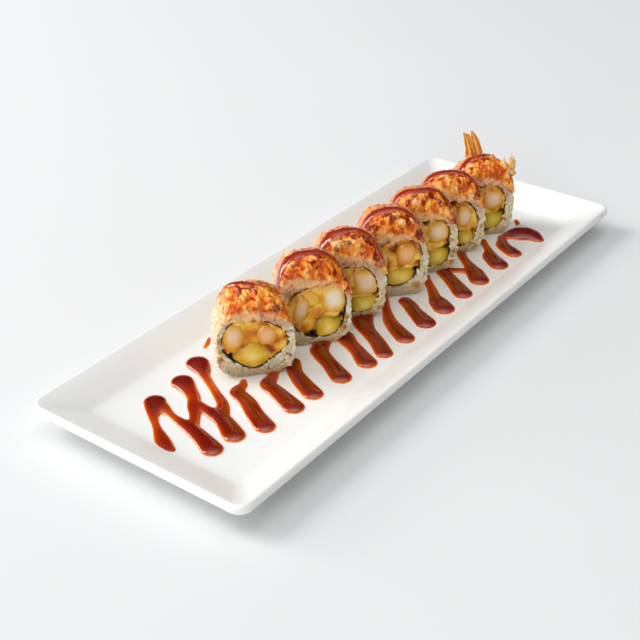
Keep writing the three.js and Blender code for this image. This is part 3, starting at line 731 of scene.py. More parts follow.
# Both shrimp of each slice: place on the cut face, width, height, lean and squareness
SHRIMPS = [
    [(-12.5, 26, 9, 14, 6, 2.1), (6, 25, 8.5, 10.5, 0, 2.1)],
    [(-7, 23.5, 7, 14.5, -14, 2.1), (11.8, 28.6, 11.5, 16.5, 4, 2.4)],
    [(-8, 24, 8, 12, 0, 2.1), (9, 23.8, 13, 15, 8, 3.6)],
    [(-8.5, 26, 8, 12, 0, 2.1), (7.6, 28.2, 9.5, 12.5, 0, 2.3)],
    [(-7.5, 25, 8, 12, 0, 2.1), (8.4, 28, 11, 12.5, 0, 2.6)],
    [(-8, 25, 8, 12, 0, 2.1), (7.4, 25.6, 8, 13, 0, 2.2)],
    [(-7.5, 24.5, 8, 12, 0, 2.1), (8, 25.8, 11.5, 12.5, 0, 2.4)],
]


def plug(cut, middle_u, middle_z, outline, proud, edge, seed):
    """A filling that runs through the slice, with a low dome at both cuts. Its mark "rim" goes from
    0 in the middle to 1 at the outline."""
    shares = [k / PLUG_ROWS for k in range(PLUG_ROWS + 1)]
    front = [(share, -proud + (proud + edge) * share ** 3) for share in shares]
    depths = [*front, (1.0, cut.depth * 0.3), (1.0, cut.depth * 0.7),
              *((share, cut.depth - y) for share, y in reversed(front))]
    rows = len(depths) - 1
    bm = bmesh.new()
    bmesh.ops.create_grid(bm, x_segments=PLUG_COLUMNS, y_segments=rows, size=0.5)
    rim = bm.verts.layers.float.new("rim")
    for vertex in bm.verts:
        angle = (vertex.co.x + 0.5) * math.tau
        share, y = depths[round((vertex.co.y + 0.5) * rows)]
        uneven = noise.noise(Vector((math.cos(angle), math.sin(angle), seed * 3.1)) * 1.6)
        r = outline(angle) * share * (1 + 0.13 * share * uneven)
        u, z = middle_u + r * math.cos(angle), middle_z + r * math.sin(angle)
        lump = noise.noise(Vector((u * 0.3, seed * 7.7, z * 0.3)))
        vertex.co = (u, y + 0.22 * lump * (1 - share ** 4), z)
        vertex[rim] = share
    return close_up(bm)


def turned_reach(width, height, squareness, lean):
    """The outline of a filling that leans over."""
    return lambda angle: reach(angle - math.radians(lean), width / 2, height / 2, squareness)


def keep_in_ring(bm, cut):
    """Draws in whatever would reach through the seaweed."""
    for vertex in bm.verts:
        up = vertex.co.z - cut.rice_top / 2
        away = math.hypot(vertex.co.x, up)
        room = nori_reach(cut, math.atan2(up, vertex.co.x) % math.tau) - NORI_ROOM
        if away > room:
            vertex.co.x *= room / away
            vertex.co.z = cut.rice_top / 2 + up * room / away
    return bm


shrimp_look, tree, shader = new_material(
    "shrimp_flesh", Subsurface_Weight=0.4, Subsurface_Scale=2.0 * MM, Subsurface_Radius=(1.0, 0.7, 0.45),
    Coat_Weight=0.35, Coat_Roughness=0.1)
fibre = grained(tree, 320.0, 3.0, strength=0.35, distance=0.15)
edge = grained(tree, 130.0, 2.0, marked(tree, "rim"), 0.36, -0.18)["Level"]
colour = ramp(tree, edge, (0, 248, 237, 218), (0.34, 247, 231, 204), (0.54, 247, 218, 158),
              (0.74, 245, 198, 88), (1, 232, 166, 36))
colour = blend(tree, marked(tree, "gold"), colour, srgb(246, 202, 137), blend_type="MULTIPLY")
shine = between(tree, fibre["Grain"], 0.16, 0.34)
feed(tree, shader, Base_Color=colour, Roughness=shine, Normal=fibre["Normal"])

for number, (cut, pair, golds) in enumerate(zip(SLICES, SHRIMPS, SHRIMP_GOLDS), 1):
    for letter, (u, z, width, height, lean, squareness), stained in zip("ab", pair, golds):
        outline = turned_reach(width + SHRIMP_UNDER, height + SHRIMP_UNDER, squareness, lean)
        body = plug(cut, u, z, outline, SHRIMP_PROUD, SHRIMP_EDGE, number + (letter == "b") * 10)
        mark(body, "gold", lambda co: stained)
        finish_layer(number, f"shrimp_{letter}", "cut", keep_in_ring(body, cut), shrimp_look)

# Avocado. A stick of ripe avocado lies under the shrimp, pale yellow inside and olive green at its
# outside, cut clean and a little moist.
# In each slice: place on the cut face, width, height and squareness, and how green it is
AVOCADOS = [
    (-2.2, 12.4, 21, 17, 1.35), (8.8, 10.2, 14.5, 14.5, 2.2), (8.2, 8.3, 15.6, 13, 4.5),
    (4.8, 12.8, 17, 12.5, 3), (9.4, 10.2, 14, 12.5, 3), (9.4, 9.8, 10.5, 11.5, 2.6), (9, 10.2, 14.5, 13, 2.4),
]
AVOCADO_GREENS = [0.05, 0.1, 0.2, 0.2, 0.25, 0.4, 0.7]
AVOCADO_PROUD = 0.4
AVOCADO_EDGE = 0.9
AVOCADO_UNDER = 0.6

avocado_look, tree, shader = new_material(
    "avocado_flesh", Subsurface_Weight=0.3, Subsurface_Scale=1.5 * MM, Subsurface_Radius=(1.0, 0.9, 0.3),
    Specular_IOR_Level=0.3, Coat_Weight=0.15, Coat_Roughness=0.12)
cloud = grained(tree, 110.0, 2.0, marked(tree, "rim"), 0.9, -0.5)
colour = ramp(tree, cloud["Level"], (0, 255, 236, 156), (0.3, 250, 214, 96), (0.65, 230, 182, 42),
              (0.9, 194, 156, 26), (1, 140, 130, 26))
colour = blend(tree, marked(tree, "green"), colour, srgb(208, 228, 126), blend_type="MULTIPLY")
shine = between(tree, cloud["Grain"], 0.25, 0.45)
feed(tree, shader, Base_Color=colour, Roughness=shine)

for number, (cut, (u, z, width, height, squareness)) in enumerate(zip(SLICES, AVOCADOS), 1):
    outline = turned_reach(width + AVOCADO_UNDER, height + AVOCADO_UNDER, squareness, 0)
    body = plug(cut, u, z, outline, AVOCADO_PROUD, AVOCADO_EDGE, number + 20)
    mark(body, "green", lambda co: AVOCADO_GREENS[number - 1])
    finish_layer(number, "avocado", "cut", keep_in_ring(body, cut), avocado_look)

# Batter. The shrimps' fried coats fill the rest of the ring: golden lumps and curved strands, slick
# with oil, painted pale on their crests and dark amber in their creases as painted light and shade,
# and small hollows, painted nearly black as painted shade, where the roll didn't close.
BATTER_ROWS = 34
BATTER_COLUMNS = 150
# How far the coat creeps over the seaweed's edge where it does, and hides behind it elsewhere
BATTER_CREEP = 1.1
BATTER_INSET = 0.55
# Dark hollows, as places on the cut face and their reach
HOLLOWS = [
    [(-13.3, 13.2, 2), (15.8, 13.5, 1.5)],
    [(0.8, 6.3, 2), (16.6, 16.6, 1.6)],
    [(0.4, 6, 1.9), (15.2, 15.6, 1.3)],
    [(-3.6, 9.8, 1.9), (14, 17.2, 1.7)],
    [(0.8, 35.6, 1.9), (15.2, 17.2, 1.4)],
    [(0.2, 35.4, 1.7), (14, 14.6, 1.3)],
    [(14.6, 16.4, 1.5)],
]

# Folds and lobes of batter, as places on the cut face, half widths, half heights and leans
LOBES = [
    [(-12.5, 25, 6.5, 10, 0), (-6.2, 25, 4.5, 8.5, 8), (-1.5, 27, 4.2, 7.5, -12), (-10.5, 34, 4, 2.6, 0),
     (8.5, 24.5, 8.5, 7, 10), (6, 14.5, 7.5, 2.6, -40), (13.5, 18, 4.5, 5, 30), (-13.5, 17, 3.5, 2.4, 20)],
    [(-8, 22.5, 6.5, 9.5, -14), (-1.5, 30, 5, 6, 20), (2.5, 21.5, 4.2, 5, -20), (12.5, 27.5, 7.5, 9.5, 4),
     (3, 35, 4.5, 2.6, 0), (-5, 12.5, 6.5, 4.5, 0), (10.5, 17.5, 7, 2.6, 8)],
    [(10, 24, 7.6, 8.6, 0), (1.6, 24, 3.4, 8, 6), (-6, 26, 6, 8, 0), (6, 15.4, 9, 1.4, 0), (-8, 14, 6, 5, 0),
     (-2, 33, 4, 4, 0)],
    [(8.6, 27, 7.4, 7.6, 0), (-1, 26, 4.2, 7.5, 8), (10, 19, 7, 2.2, 10), (-8, 27, 5, 8, 0),
     (2, 18, 5, 2.6, -12), (-10, 15, 5, 6, 0)],
    [(8.6, 28, 7.2, 7.6, 0), (0.5, 29, 3.6, 8, 4), (7, 18.6, 8.5, 2.4, 4), (-7, 26, 6, 8, 0),
     (-6, 13, 7, 5, 0)],
    [(7.6, 26, 5.6, 8, 0), (14, 22, 4.6, 8.5, -10), (0.5, 27, 3.8, 8, 6), (8, 16.6, 7, 2.4, -8),
     (-8, 25, 6, 8, 0), (-4, 12, 7, 5, 0)],
    [(8.4, 26, 7.2, 7.4, 0), (0, 26, 3.6, 8, 4), (9, 17, 7.5, 2.2, 6), (-8, 25, 6, 8, 0),
     (-4, 12, 7, 5, 0)],
]
LOBE_GRID = 7.0
LOBE_RISE = 2.5
LOBE_DEPTH = 2.9
SPLIT_DEPTH = 0.2
FOLD_RISE = 0.4
CRUMB_RISE = 0.22
# The batter dives so far under the shrimp and the avocado, and so far down in a hollow
UNDER_FILLING = 2.2
HOLLOW_DEPTH = 3.5
# Parts of the batter painted darker, as places on the cut face and their reach
DARKER = [
    [(8, 15, 5), (12.5, 20, 5), (0, 27, 4), (-7, 19, 4)],
    [(-9, 29, 5), (2, 19, 4.5), (3.4, 18.6, 2), (-6, 12, 5)],
    [(2, 20, 3.5), (3, 31, 4), (10, 17, 3)],
    [(1, 31, 5), (14, 22, 3.5), (5, 20, 3.5), (-4, 24, 4)],
    [(3, 31, 4), (14, 20, 3.5), (5, 19, 3)],
    [(3, 29, 4), (8, 17.5, 3)],
    [(2, 29, 4), (8, 18, 3)],
]
# How much darker than pale gold each slice's batter is painted
BATTER_DARKENING = [0.17, 0.03, 0, 0.17, -0.05, 0.08, 0.06]
# The warps that bend the lobes, and later the crags, are drawn from this seed
WARP_SEED = 5
noise.seed_set(WARP_SEED)


def batter_lobes(cut, number):
    """The named lobes, and small ones strewn under them."""
    rng = random.Random(number * 31)
    lobes = [(u, z, a, b, math.radians(lean), 0.45) for u, z, a, b, lean in LOBES[number - 1]]
    steps = round(44 / LOBE_GRID)
    for row in range(steps):
        for column in range(steps):
            u = (column + rng.uniform(0, 1) - steps / 2) * LOBE_GRID
            z = (row + rng.uniform(0, 1)) * LOBE_GRID
            size = rng.uniform(2.6, 4.6)
            lobes.append((u, z, size, size * rng.uniform(0.5, 1.3), rng.uniform(0, math.pi), 0.0))
    return lobes


def lobe_heights(u, z, lobes):
    """How high the highest lobe stands at a place, and how far the next lies below it."""
    heights = []
    for middle_u, middle_z, half_width, half_height, lean, lift in lobes:
        du, dz = u - middle_u, z - middle_z
        across = (du * math.cos(lean) + dz * math.sin(lean)) / half_width
        along = (dz * math.cos(lean) - du * math.sin(lean)) / half_height
        heights.append(lift + 1 - across * across - along * along)
    *_, second, first = sorted(heights)
    return first, first - second


def batter_disc(cut, number):
    """Both cuts of the batter, joined round their edge. Its marks are "crease", from pale crests to
    dark amber creases, painted light and shade, with darker patches added, and "hollow", painted shade."""
    fillings = [(u, z, turned_reach(w, h, squareness, lean))
                for u, z, w, h, lean, squareness in SHRIMPS[number - 1]]
    u, z, w, h, squareness = AVOCADOS[number - 1]
    fillings.append((u, z, turned_reach(w, h, squareness, 0)))
    lobes = batter_lobes(cut, number)
    bm = bmesh.new()
    rows = BATTER_ROWS * 2 + 2
    bmesh.ops.create_grid(bm, x_segments=BATTER_COLUMNS, y_segments=rows, size=0.5)
    crease = bm.verts.layers.float.new("crease")
    hollow = bm.verts.layers.float.new("hollow")
    for vertex in bm.verts:
        angle = (vertex.co.x + 0.5) * math.tau
        row = round((vertex.co.y + 0.5) * rows)
        back = row > rows / 2
        share = min(1, (rows - row if back else row) / BATTER_ROWS)
        round_edge = Vector((math.cos(angle), math.sin(angle), number * 2))
        creep = BATTER_CREEP * unit(3 * noise.noise(round_edge * 1.6))
        r = (nori_reach(cut, angle) - BATTER_INSET + creep) * share
        u, z = r * math.cos(angle), cut.rice_top / 2 + r * math.sin(angle)
        spot = Vector((u, number * 11 + 50 * back, z))
        warp = noise.noise_vector(spot * 0.24) * 1.5
        first, lead = lobe_heights(u + warp.x, z + warp.z, lobes)
        lobe = max(0, min(1.6, first + 0.6) / 1.6)
        split = max(0, 1 - lead * 1.8)
        fold = noise.noise(spot * 0.14)
        fine = noise.fractal(spot * 0.5, 0.8, 2.0, 2)
        y = LOBE_DEPTH - (LOBE_RISE * lobe - SPLIT_DEPTH * split + FOLD_RISE * fold + CRUMB_RISE * fine)
        for middle_u, middle_z, outline in fillings:
            du, dz = u - middle_u, z - middle_z
            away = math.hypot(du, dz) - outline(math.atan2(dz, du))
            y += unit((-away - 0.2) / 1.5) * UNDER_FILLING
        dark = max(min(1, max(0, 1.35 - math.hypot(u - hu, z - hz) / size) * 1.8)
                   for hu, hz, size in HOLLOWS[number - 1])
        y = max(y + HOLLOW_DEPTH * dark, -0.45)
        if share >= 1:
            y = max(y, 0.8 - 0.75 * min(1, creep))
        vertex.co = (u, cut.depth - y if back else y, z)
        # Pale crests and dark creases, folds and splits follow the relief: painted light and shade. Darker
        # patches and each slice's darkening are added on top.
        darker_patch = max([0] + [1 - math.hypot(u - du, z - dz) / size for du, dz, size in DARKER[number - 1]])
        brown = BATTER_DARKENING[number - 1] + 0.74 - 0.66 * lobe + 0.1 * split - 0.7 * fold - 0.12 * fine
        vertex[crease] = unit(brown + 0.5 * darker_patch)
        vertex[hollow] = dark
    return close_up(bm)


batter_look, tree, shader = new_material(
    "fried_batter", Roughness=0.28, Subsurface_Weight=0.3, Subsurface_Scale=1.6 * MM,
    Subsurface_Radius=(1.0, 0.6, 0.2), Specular_IOR_Level=0.3, Coat_Weight=0.4, Coat_Roughness=0.06)
crumb = grained(tree, 300.0, 2.0, marked(tree, "crease"), 0.3, -0.15, strength=0.3, distance=0.3)
# Crests paler and creases darker along the mark: painted light and shade
colour = ramp(tree, crumb["Level"], (0, 252, 208, 84), (0.28, 244, 180, 42), (0.5, 230, 150, 20),
              (0.75, 202, 112, 8), (1, 146, 70, 6))
# The hollows are painted nearly black: painted shade
colour = blend(tree, marked(tree, "hollow"), colour, srgb(24, 18, 10))
feed(tree, shader, Base_Color=colour, Normal=crumb["Normal"])

finish_layers("batter", "coat", batter_disc, batter_look)

# Topping. A browned, crumbly crust 10 to 14 mm thick lies over each slice, deep orange in its
# hollows, golden on its crags and cream towards the back; the deeper hollows and paler crags are
# partly its own colour and partly painted shade and highlight. Dark sauce lies on it in thick
# glossy ribbons and runs down the front in drips that glaze the crumbs.
CRUST_ROWS = 190
CRUST_STEPS = 8
LIP_THICKNESS = 1.3
CRUST_GAP = 0.3
CRAG_SIZE = 4.4
CRAG_STRETCH = 0.85
CRAG_RISE = 2.7
RIBBON_RISE = 1.0
RIBBON_SPREAD = 1.2
# Shares of the large crags, the small crumbs and the long swell in the crust's relief
CRAG_SHARE = 0.38
CRUMB_SHARE = 0.28
SWELL_SHARE = 0.42
# The relief's height that looks as it is, and how much paler higher crumbs and darker hollows are painted,
# partly their own colour and partly painted light and shade
CREST_MIDDLE = 0.42
CREST_CONTRAST = 1.8
DROOP = 3.0
RAGGED = 0.06
SHOULDER_ROOM = 0.6
# The crust's front ends at this depth, and fades into its top over this much
FRONT_END = 7
FRONT_FADE = 5
# The pale rind of the front's lower lip: its height, and how it thins towards the right
RIND_HEIGHT = 1.8
RIND_LEAN = 11
# The glaze pools over so much beside a ribbon, and the cream back sets in over so many degrees
POOL_WIDTH = 5
CREAM_FADE = 16
# Angles round the slices from which the crust turns pale
PALE_FROM = [119, 121, 122, 122, 124, 122, 126]
# How far the sauce's drips run down the front of each crust, and their usual spacing
DRIPS = [0.2, 0.2, 0.75, 0.6, 0.5, 0.45, 0.4]
DRIP_SPACING = 3.8
DRIP_LENGTH = 17.0
# Burnt spots, as places on the front of the crust and their reach
CHARS = [
    [(11.8, 41.8, 2.4), (-11.5, 50, 1.1), (-3.5, 51.5, 0.9), (-20.5, 47, 0.9)],
    [(2.5, 50, 1.1), (9, 46, 0.6)],
    [(-6, 50, 0.7), (6, 44, 0.8)],
    [(-19.5, 50, 2), (4, 47, 0.9)],
    [(-8, 47, 0.8)],
    [(3, 46, 0.7)],
    [(6, 45, 0.7)],
]
# Sauce on each topping: runs of (angle round the slice, share of its depth, width)
RIBBONS = [
    [[(112, 0.9, 3.5), (104, 0.84, 4.6), (96, 0.74, 4.6), (89, 0.6, 3.6)],
     [(106, 0.6, 1.5), (103, 0.46, 2), (104, 0.34, 1.7), (107, 0.26, 1.3)],
     [(90, 0.4, 1.3), (87, 0.3, 1.7), (88, 0.22, 1.2)]],
    [[(150, 0.08, 4), (144, 0.13, 6.4), (135, 0.21, 7), (124, 0.3, 6.4), (112, 0.4, 6.8), (100, 0.46, 7),
      (86, 0.48, 5.6), (74, 0.46, 3.6), (60, 0.36, 2.2), (46, 0.22, 1.9), (34, 0.1, 1.6)],
     [(86, 0.3, 2.4), (84, 0.24, 2)]],
    [[(148, 0.08, 3), (142, 0.12, 4.6), (134, 0.2, 5.4), (125, 0.27, 6), (114, 0.34, 6.6), (100, 0.42, 7),
      (86, 0.48, 6), (72, 0.42, 3.8), (60, 0.34, 2.6), (46, 0.26, 2.2), (34, 0.18, 2)],
     [(64, 0.26, 3), (50, 0.06, 4), (42, 0.02, 3)]],
    [[(144, 0.14, 2.6), (138, 0.2, 4.4), (129, 0.3, 5.4), (118, 0.36, 5.4), (102, 0.42, 6.2),
      (84, 0.44, 5.4), (68, 0.38, 3.4), (54, 0.3, 2.2), (42, 0.24, 1.9), (34, 0.2, 1.7)]],
    [[(147, 0.38, 1.6), (139, 0.46, 3.6), (128, 0.54, 4.6), (116, 0.56, 5.6), (104, 0.46, 5.6),
      (94, 0.4, 6.2), (84, 0.46, 6), (72, 0.46, 4.2), (60, 0.36, 3), (46, 0.26, 2.4), (36, 0.14, 2.8),
      (28, 0.08, 4)]],
    [[(140, 0.38, 1.6), (132, 0.44, 3), (122, 0.5, 4.4), (110, 0.54, 5.6), (96, 0.5, 6.2), (82, 0.44, 5.4),
      (70, 0.36, 3.8), (60, 0.3, 2.6), (48, 0.22, 2)],
     [(70, 0.28, 2.4), (62, 0.2, 2)]],
    [[(130, 0.3, 4), (120, 0.42, 5), (108, 0.52, 6.2), (96, 0.62, 6.4), (84, 0.68, 6), (76, 0.7, 4.6)],
     [(122, 0.3, 3), (116, 0.2, 2.4)],
     [(48, 0.06, 3), (38, 0.08, 4.6), (28, 0.1, 4.6), (20, 0.12, 3)]],
]


def topping_reach(cut, angle):
    """The crust's underside and its outside, which draw together at both shoulders."""
    right, left = math.radians(cut.lips[1]), math.radians(cut.lips[0])
    half = (cut.right if math.cos(angle) > 0 else cut.left) + SHOULDER_ROOM
    dome = cut.domes[1 if math.cos(angle) > 0 else 0]
    inner = rice_reach(cut, angle) + CRUST_GAP
    outer = max(inner + LIP_THICKNESS, reach(angle, half, cut.top - cut.rice_top / 2, dome))
    share = unit((angle - right) / (left - right))
    return inner, inner + max(0.5, (outer - inner) * (4 * share * (1 - share)) ** 0.3)


def crust_section(depth):
    """The loop round the crust from front to back: depth, share of the thickness, extra height."""
    outside = [(-0.35, 0, -1.4), (-1.2, 0.02, -1.5), (-1.75, 0.12, -0.3), (-1.5, 0.3, 0.6), (-0.8, 0.55, 0.3),
               (0.6, 0.76, 0), (2.8, 0.9, 0), (depth * 0.34, 0.99, 0), (depth * 0.5, 1.02, 0),
               (depth * 0.68, 1, 0), (depth - 1.6, 0.9, 0), (depth + 0.1, 0.6, 0), (depth + 0.4, 0.3, 0.1)]
    under = [(depth + 0.2, 0, 0.05), (depth * 0.5, 0, 0.05), (0, 0, 0.05), (-0.35, 0, -1.4)]
    run = smooth_run(outside, CRUST_STEPS)
    return [*run, *under], len(run)


def ribbon_heights(cut, angles, depths, radii, runs):
    """How far inside the sauce each place lies: 1 on a run's middle line, 0 at its edge or beyond."""
    inside = np.zeros(len(angles))
    for run in runs:
        for degrees, share, width in smooth_run(run, 6):
            away = np.hypot((angles - math.radians(degrees)) * radii, depths - share * cut.depth)
            inside = np.maximum(inside, 1 - away / (width * RIBBON_SPREAD / 2))
    return inside


def crag_height(spot):
    """The crust's relief at a place: crags, crumbs and a long swell."""
    drawn = Vector((spot.x, spot.y * CRAG_STRETCH, spot.z * CRAG_STRETCH))
    warp = noise.noise_vector(drawn * 0.2) * 3.0
    big = noise.voronoi((drawn + warp) / CRAG_SIZE)[0]
    small = noise.voronoi((drawn + warp * 0.6) / (CRAG_SIZE * 0.45))[0]
    crag = 1 - min(1, big[0] * 1.25) ** 1.6
    crumb = 1 - min(1, small[0] * 1.3) ** 1.6
    swell = noise.fractal(drawn * 0.17, 0.8, 2.0, 2)
    return CRAG_SHARE * crag + CRUMB_SHARE * crumb + SWELL_SHARE * swell + 0.1


def drip_length(angle, y, number, run):
    """How far the sauce has run down from its ribbon here, where there is a ribbon."""
    wave = noise.noise(Vector((angle * 22 / DRIP_SPACING, number * 6, 0.3 * y)))
    length = DRIP_LENGTH * min(1, 1.7 * wave + DRIPS[number - 1])
    return length if run[0] < math.degrees(angle) < run[-1] else 0


def crust(cut, number):
    """The crust of a slice. Its marks are "crest", the relief, which the material paints paler on
    crags and darker in hollows, partly as painted light and shade, "sauce" and "film", the ribbons and
    the glaze, and "pale", "char" and "lip", its cream back, burnt spots and pale lower lip."""
    section, outside = crust_section(cut.depth)
    columns = len(section) - 1
    bm = bmesh.new()
    bmesh.ops.create_grid(bm, x_segments=columns, y_segments=CRUST_ROWS, size=0.5)
    right, left = math.radians(cut.lips[1]), math.radians(cut.lips[0])
    seed = Vector((0, number * 40, 0))
    angles, depths, radii, open_air, drops = [], [], [], [], []
    for vertex in bm.verts:
        k = round((vertex.co.x + 0.5) * columns)
        share = vertex.co.y + 0.5
        y, thick, extra = section[k]
        ragged = RAGGED * noise.noise(Vector((y * 0.35, number * 5, round(share) * 9)))
        angle = right + (left - right) * share + ragged * (abs(share - 0.5) * 2) ** 6
        inner, outer = topping_reach(cut, min(left, max(right, angle)))
        droop = math.sin(math.pi * unit(share)) ** 0.7
        if extra < 0:
            droop *= DROOP * (1 + 0.8 * noise.noise(Vector((angle * 4, number * 3, 0))))
        r = inner + thick * (outer - inner) + extra * droop
        vertex.co = on_cut(cut, angle, r, y)
        angles.append(angle)
        depths.append(y)
        radii.append(r)
        drops.append(max(0, outer - r))
        open_air.append(unit(min(k, outside - k) / 9) * min(1, (outer - inner) / 2.5 + 0.25))
    ribbons = RIBBONS[number - 1]
    inside = ribbon_heights(cut, np.array(angles), np.array(depths), np.array(radii), ribbons)
    run, run_shares, _ = zip(*reversed(ribbons[0]))
    ahead = np.interp(np.degrees(angles), run, run_shares) * cut.depth - np.array(depths) + np.array(drops)
    bm.normal_update()
    crest, sauce, film, pale, char, lip = (bm.verts.layers.float.new(name)
                                           for name in ("crest", "sauce", "film", "pale", "char", "lip"))
    places = zip(bm.verts, inside, open_air, angles, depths, radii, ahead)
    for vertex, deep, bare, angle, y, r, below in places:
        spot = vertex.co + seed
        patch = noise.noise(spot * 0.3)
        front = unit((FRONT_END - y) / FRONT_FADE)
        height = crag_height(spot)
        pooled = unit(1 - below / POOL_WIDTH) if below > 0 else max(0, 1 + below)
        patchy = min(0.55, 2 * (noise.noise(spot * 0.32) - 0.2)) + 0.3 * min(0, below)
        dripping = (drip_length(angle, y, number, run) - below) / 3
        glazed = unit(max(dripping, pooled, patchy) + 0.3 * noise.noise(spot * 0.6))
        cream = (math.degrees(angle) - PALE_FROM[number - 1]) / CREAM_FADE + 0.5 * patch
        cream = max(unit(cream), min(0.7, -0.2 * (below + 2)))
        rind = 0.9 - (r - topping_reach(cut, angle)[0]) / RIND_HEIGHT + patch - vertex.co.x / RIND_LEAN
        rind = unit(rind) * front
        glazed *= (1 - 0.8 * cream) * (1 - 0.6 * rind)
        edge = deep + 0.14 * noise.noise(spot * 0.45)
        covered = unit(edge * 3)
        dome = math.sqrt(1 - (1 - unit(edge)) ** 2)
        crag = CRAG_RISE * (height - 0.45) * (1 - 0.35 * max(glazed, cream)) * (1 - 0.93 * covered)
        vertex.co += vertex.normal * (crag + RIBBON_RISE * dome) * bare
        burnt = max(1 - math.hypot(spot.x - u, spot.z - z) / size for u, z, size in CHARS[number - 1])
        # The relief goes to the material, which paints crags paler and hollows darker: partly painted light
        # and shade
        vertex[crest] = unit(CREST_MIDDLE + CREST_CONTRAST * (height - CREST_MIDDLE))
        vertex[lip] = rind
        vertex[sauce] = covered if bare > 0.02 else 0
        vertex[film] = glazed
        vertex[pale] = cream
        vertex[char] = unit(burnt * 2) * front
    return close_up(bm)


crust_look, tree, shader = new_material(
    "browned_crust", Subsurface_Weight=0.15, Subsurface_Scale=1.2 * MM,
    Subsurface_Radius=(1.0, 0.55, 0.25), Specular_IOR_Level=0.3, Coat_Roughness=0.05)
sauce, film = marked(tree, "sauce"), marked(tree, "film")
wet_edge = step_up(tree, sauce, 0.02, 0.3)
grit = reckon(tree, "MULTIPLY_ADD", wet_edge, -0.4, 0.4)
crumb = grained(tree, 450.0, 4.0, marked(tree, "crest"), 0.16, -0.08, strength=grit, distance=0.35)
# Higher crumbs paler and hollows deeper orange: partly the crumbs' own colour, partly painted light and shade
high = grained(tree, 70.0, 2.0, crumb["Level"], 1.1, -0.55)["Level"]
colour = ramp(tree, high, (0, 200, 80, 2), (0.22, 236, 124, 10), (0.44, 255, 158, 40),
              (0.68, 255, 186, 78), (0.95, 255, 214, 142))
for name, strength, tint in (("pale", 0.9, (250, 212, 158)), ("lip", 0.75, (238, 200, 150))):
    colour = blend(tree, reckon(tree, "MULTIPLY", marked(tree, name), strength), colour, srgb(*tint))
bared = reckon(tree, "MULTIPLY_ADD", high, -0.5, 1.25)
film_share = reckon(tree, "MULTIPLY", film, bared, use_clamp=True)
colour = blend(tree, film_share, colour,
               ramp(tree, film, (0, 238, 130, 24), (0.5, 212, 88, 6), (1, 136, 34, 2)))
specks = step_up(tree, grained(tree, 260.0, 1.0)["Grain"], 0.76, 0.8)
colour = blend(tree, specks, colour, srgb(92, 44, 16))
colour = blend(tree, marked(tree, "char"), colour, srgb(38, 18, 10))
colour = blend(tree, wet_edge, colour,
               ramp(tree, sauce, (0, 226, 116, 14), (0.4, 202, 76, 8), (1, 158, 40, 5)))
dry = between(tree, film, 0.5, 0.14)
rough = add(tree, "Mix", {"Factor": wet_edge, "A": dry, "B": 0.08}, data_type="FLOAT").outputs["Result"]
feed(tree, shader, Base_Color=colour, Roughness=rough, Normal=crumb["Normal"], Coat_Weight=wet_edge)

finish_layers("topping", "crust", crust, crust_look)

# Flake and tail. Pale flakes of batter stand on the last slice's right shoulder, and behind it
# rises the shrimp's fried tail: three flat ribbed fins, close together and bent to the left.
FIN_COLUMNS = 44
FIN_STEPS = 14
# Runs of (across, depth, height, width) on the slice
FLAKES = [
    [(17.3, 4.5, 38, 4.6), (19.4, 4.1, 44, 6), (20.1, 3.7, 49, 4.8), (19.8, 3.2, 53.5, 2.6),
     (19.4, 3, 56, 1)],
    [(20.8, 4.2, 40, 3), (22.2, 4, 46, 3.2), (22, 3.8, 50.5, 1.4)],
    [(13.5, 5, 40, 5.4), (14.4, 4.8, 45, 5.8), (14.9, 4.6, 49.4, 4.2), (15.2, 4.5, 52.3, 1.4)],
]
TAIL_LOBES = [
    [(-0.5, 23.8, 38, 8), (-1.2, 25.2, 45, 7.4), (-1.9, 26.2, 51, 6.4), (-3.6, 27, 58, 4.6),
     (-6.1, 27.5, 63.2, 1.4)],
    [(4.5, 23.8, 38, 8.4), (4.2, 25.2, 45, 8), (3.6, 26.2, 51, 7), (1.6, 27, 58, 5), (-0.9, 27.5, 64, 1.3)],
    [(1.5, 25, 40, 4), (1.3, 26.2, 50, 3.8), (-0.6, 26.8, 57, 2.8), (-3.4, 27.1, 62.5, 0.9)],
]


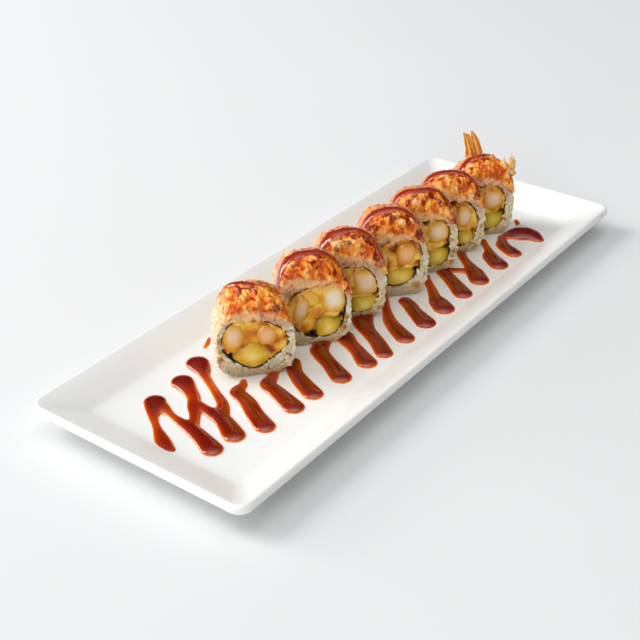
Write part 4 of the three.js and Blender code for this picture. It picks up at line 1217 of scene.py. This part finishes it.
def fins(lobes, thickness, ribs, seed, rough):
    """Flat fins along their middle lines, ribbed along their length and roughened so far. Their mark
    "rib" is 0 in the grooves and 1 on the ribs."""
    bm = bmesh.new()
    rib_layer = bm.verts.layers.float.new("rib")
    for lobe in lobes:
        run = smooth_run(lobe, FIN_STEPS)
        along = len(run) - 1
        made = bmesh.ops.create_grid(bm, x_segments=FIN_COLUMNS, y_segments=along, size=0.5)["verts"]
        for vertex in made:
            turn = (vertex.co.x + 0.5) * math.tau
            k = round((vertex.co.y + 0.5) * along)
            u, y, z, width = run[k]
            ahead = Vector(run[min(k + 1, along)][:3]) - Vector(run[max(k - 1, 0)][:3])
            side = Vector((0, 1, 0)).cross(ahead).normalized()
            out = ahead.cross(side).normalized()
            across = math.cos(turn)
            wave = math.cos(across * math.pi * ribs)
            half = width / 2
            thick = thickness * half * (0.7 + 0.3 * wave)
            wobble = 1 + 0.14 * noise.noise(Vector((u + across * half, seed, z)) * 0.5)
            curl = 0.35 * math.sin(z * 0.35 + across * 2)
            vertex.co = (Vector((u, y + curl, z)) + side * across * half * wobble
                         + out * math.sin(turn) * thick)
            vertex.co += noise.noise_vector(vertex.co * 0.55 + Vector((seed, 0, 0))) * rough
            vertex[rib_layer] = 0.5 + 0.5 * wave
    return close_up(bm)


shell_look, tree, shader = new_material(
    "fried_shell", Roughness=0.3, Subsurface_Weight=0.2, Subsurface_Scale=1.2 * MM,
    Subsurface_Radius=(1.0, 0.5, 0.2), Coat_Weight=0.4, Coat_Roughness=0.15)
# The fins are painted darker in their grooves and paler on their ribs: painted shade and light
crumb = grained(tree, 300.0, 3.0, marked(tree, "rib"), 0.8, -0.4, strength=0.5, distance=0.3)
colour = ramp(tree, crumb["Level"], (0, 212, 110, 18), (0.3, 244, 152, 34), (0.65, 255, 190, 76),
              (1, 250, 206, 122))
feed(tree, shader, Base_Color=colour, Normal=crumb["Normal"])
finish_layer(7, "tail", "fins", fins(TAIL_LOBES, 0.5, 2, 3, 0.3), shell_look)

flake_look, tree, shader = new_material(
    "pale_flake", Roughness=0.35, Subsurface_Weight=0.3, Subsurface_Scale=1.2 * MM,
    Subsurface_Radius=(1.0, 0.7, 0.4))
crumb = grained(tree, 240.0, 3.0, strength=0.5, distance=0.4)
feed(tree, shader, Normal=crumb["Normal"],
     Base_Color=ramp(tree, crumb["Grain"], (0.3, 214, 138, 52), (0.48, 244, 196, 112), (0.65, 252, 228, 174)))
finish_piece("slice_7_flake", fins(FLAKES, 0.55, 0, 9, 1.1), in_place(SLICES[-1]), flake_look,
             "slice_7_topping")
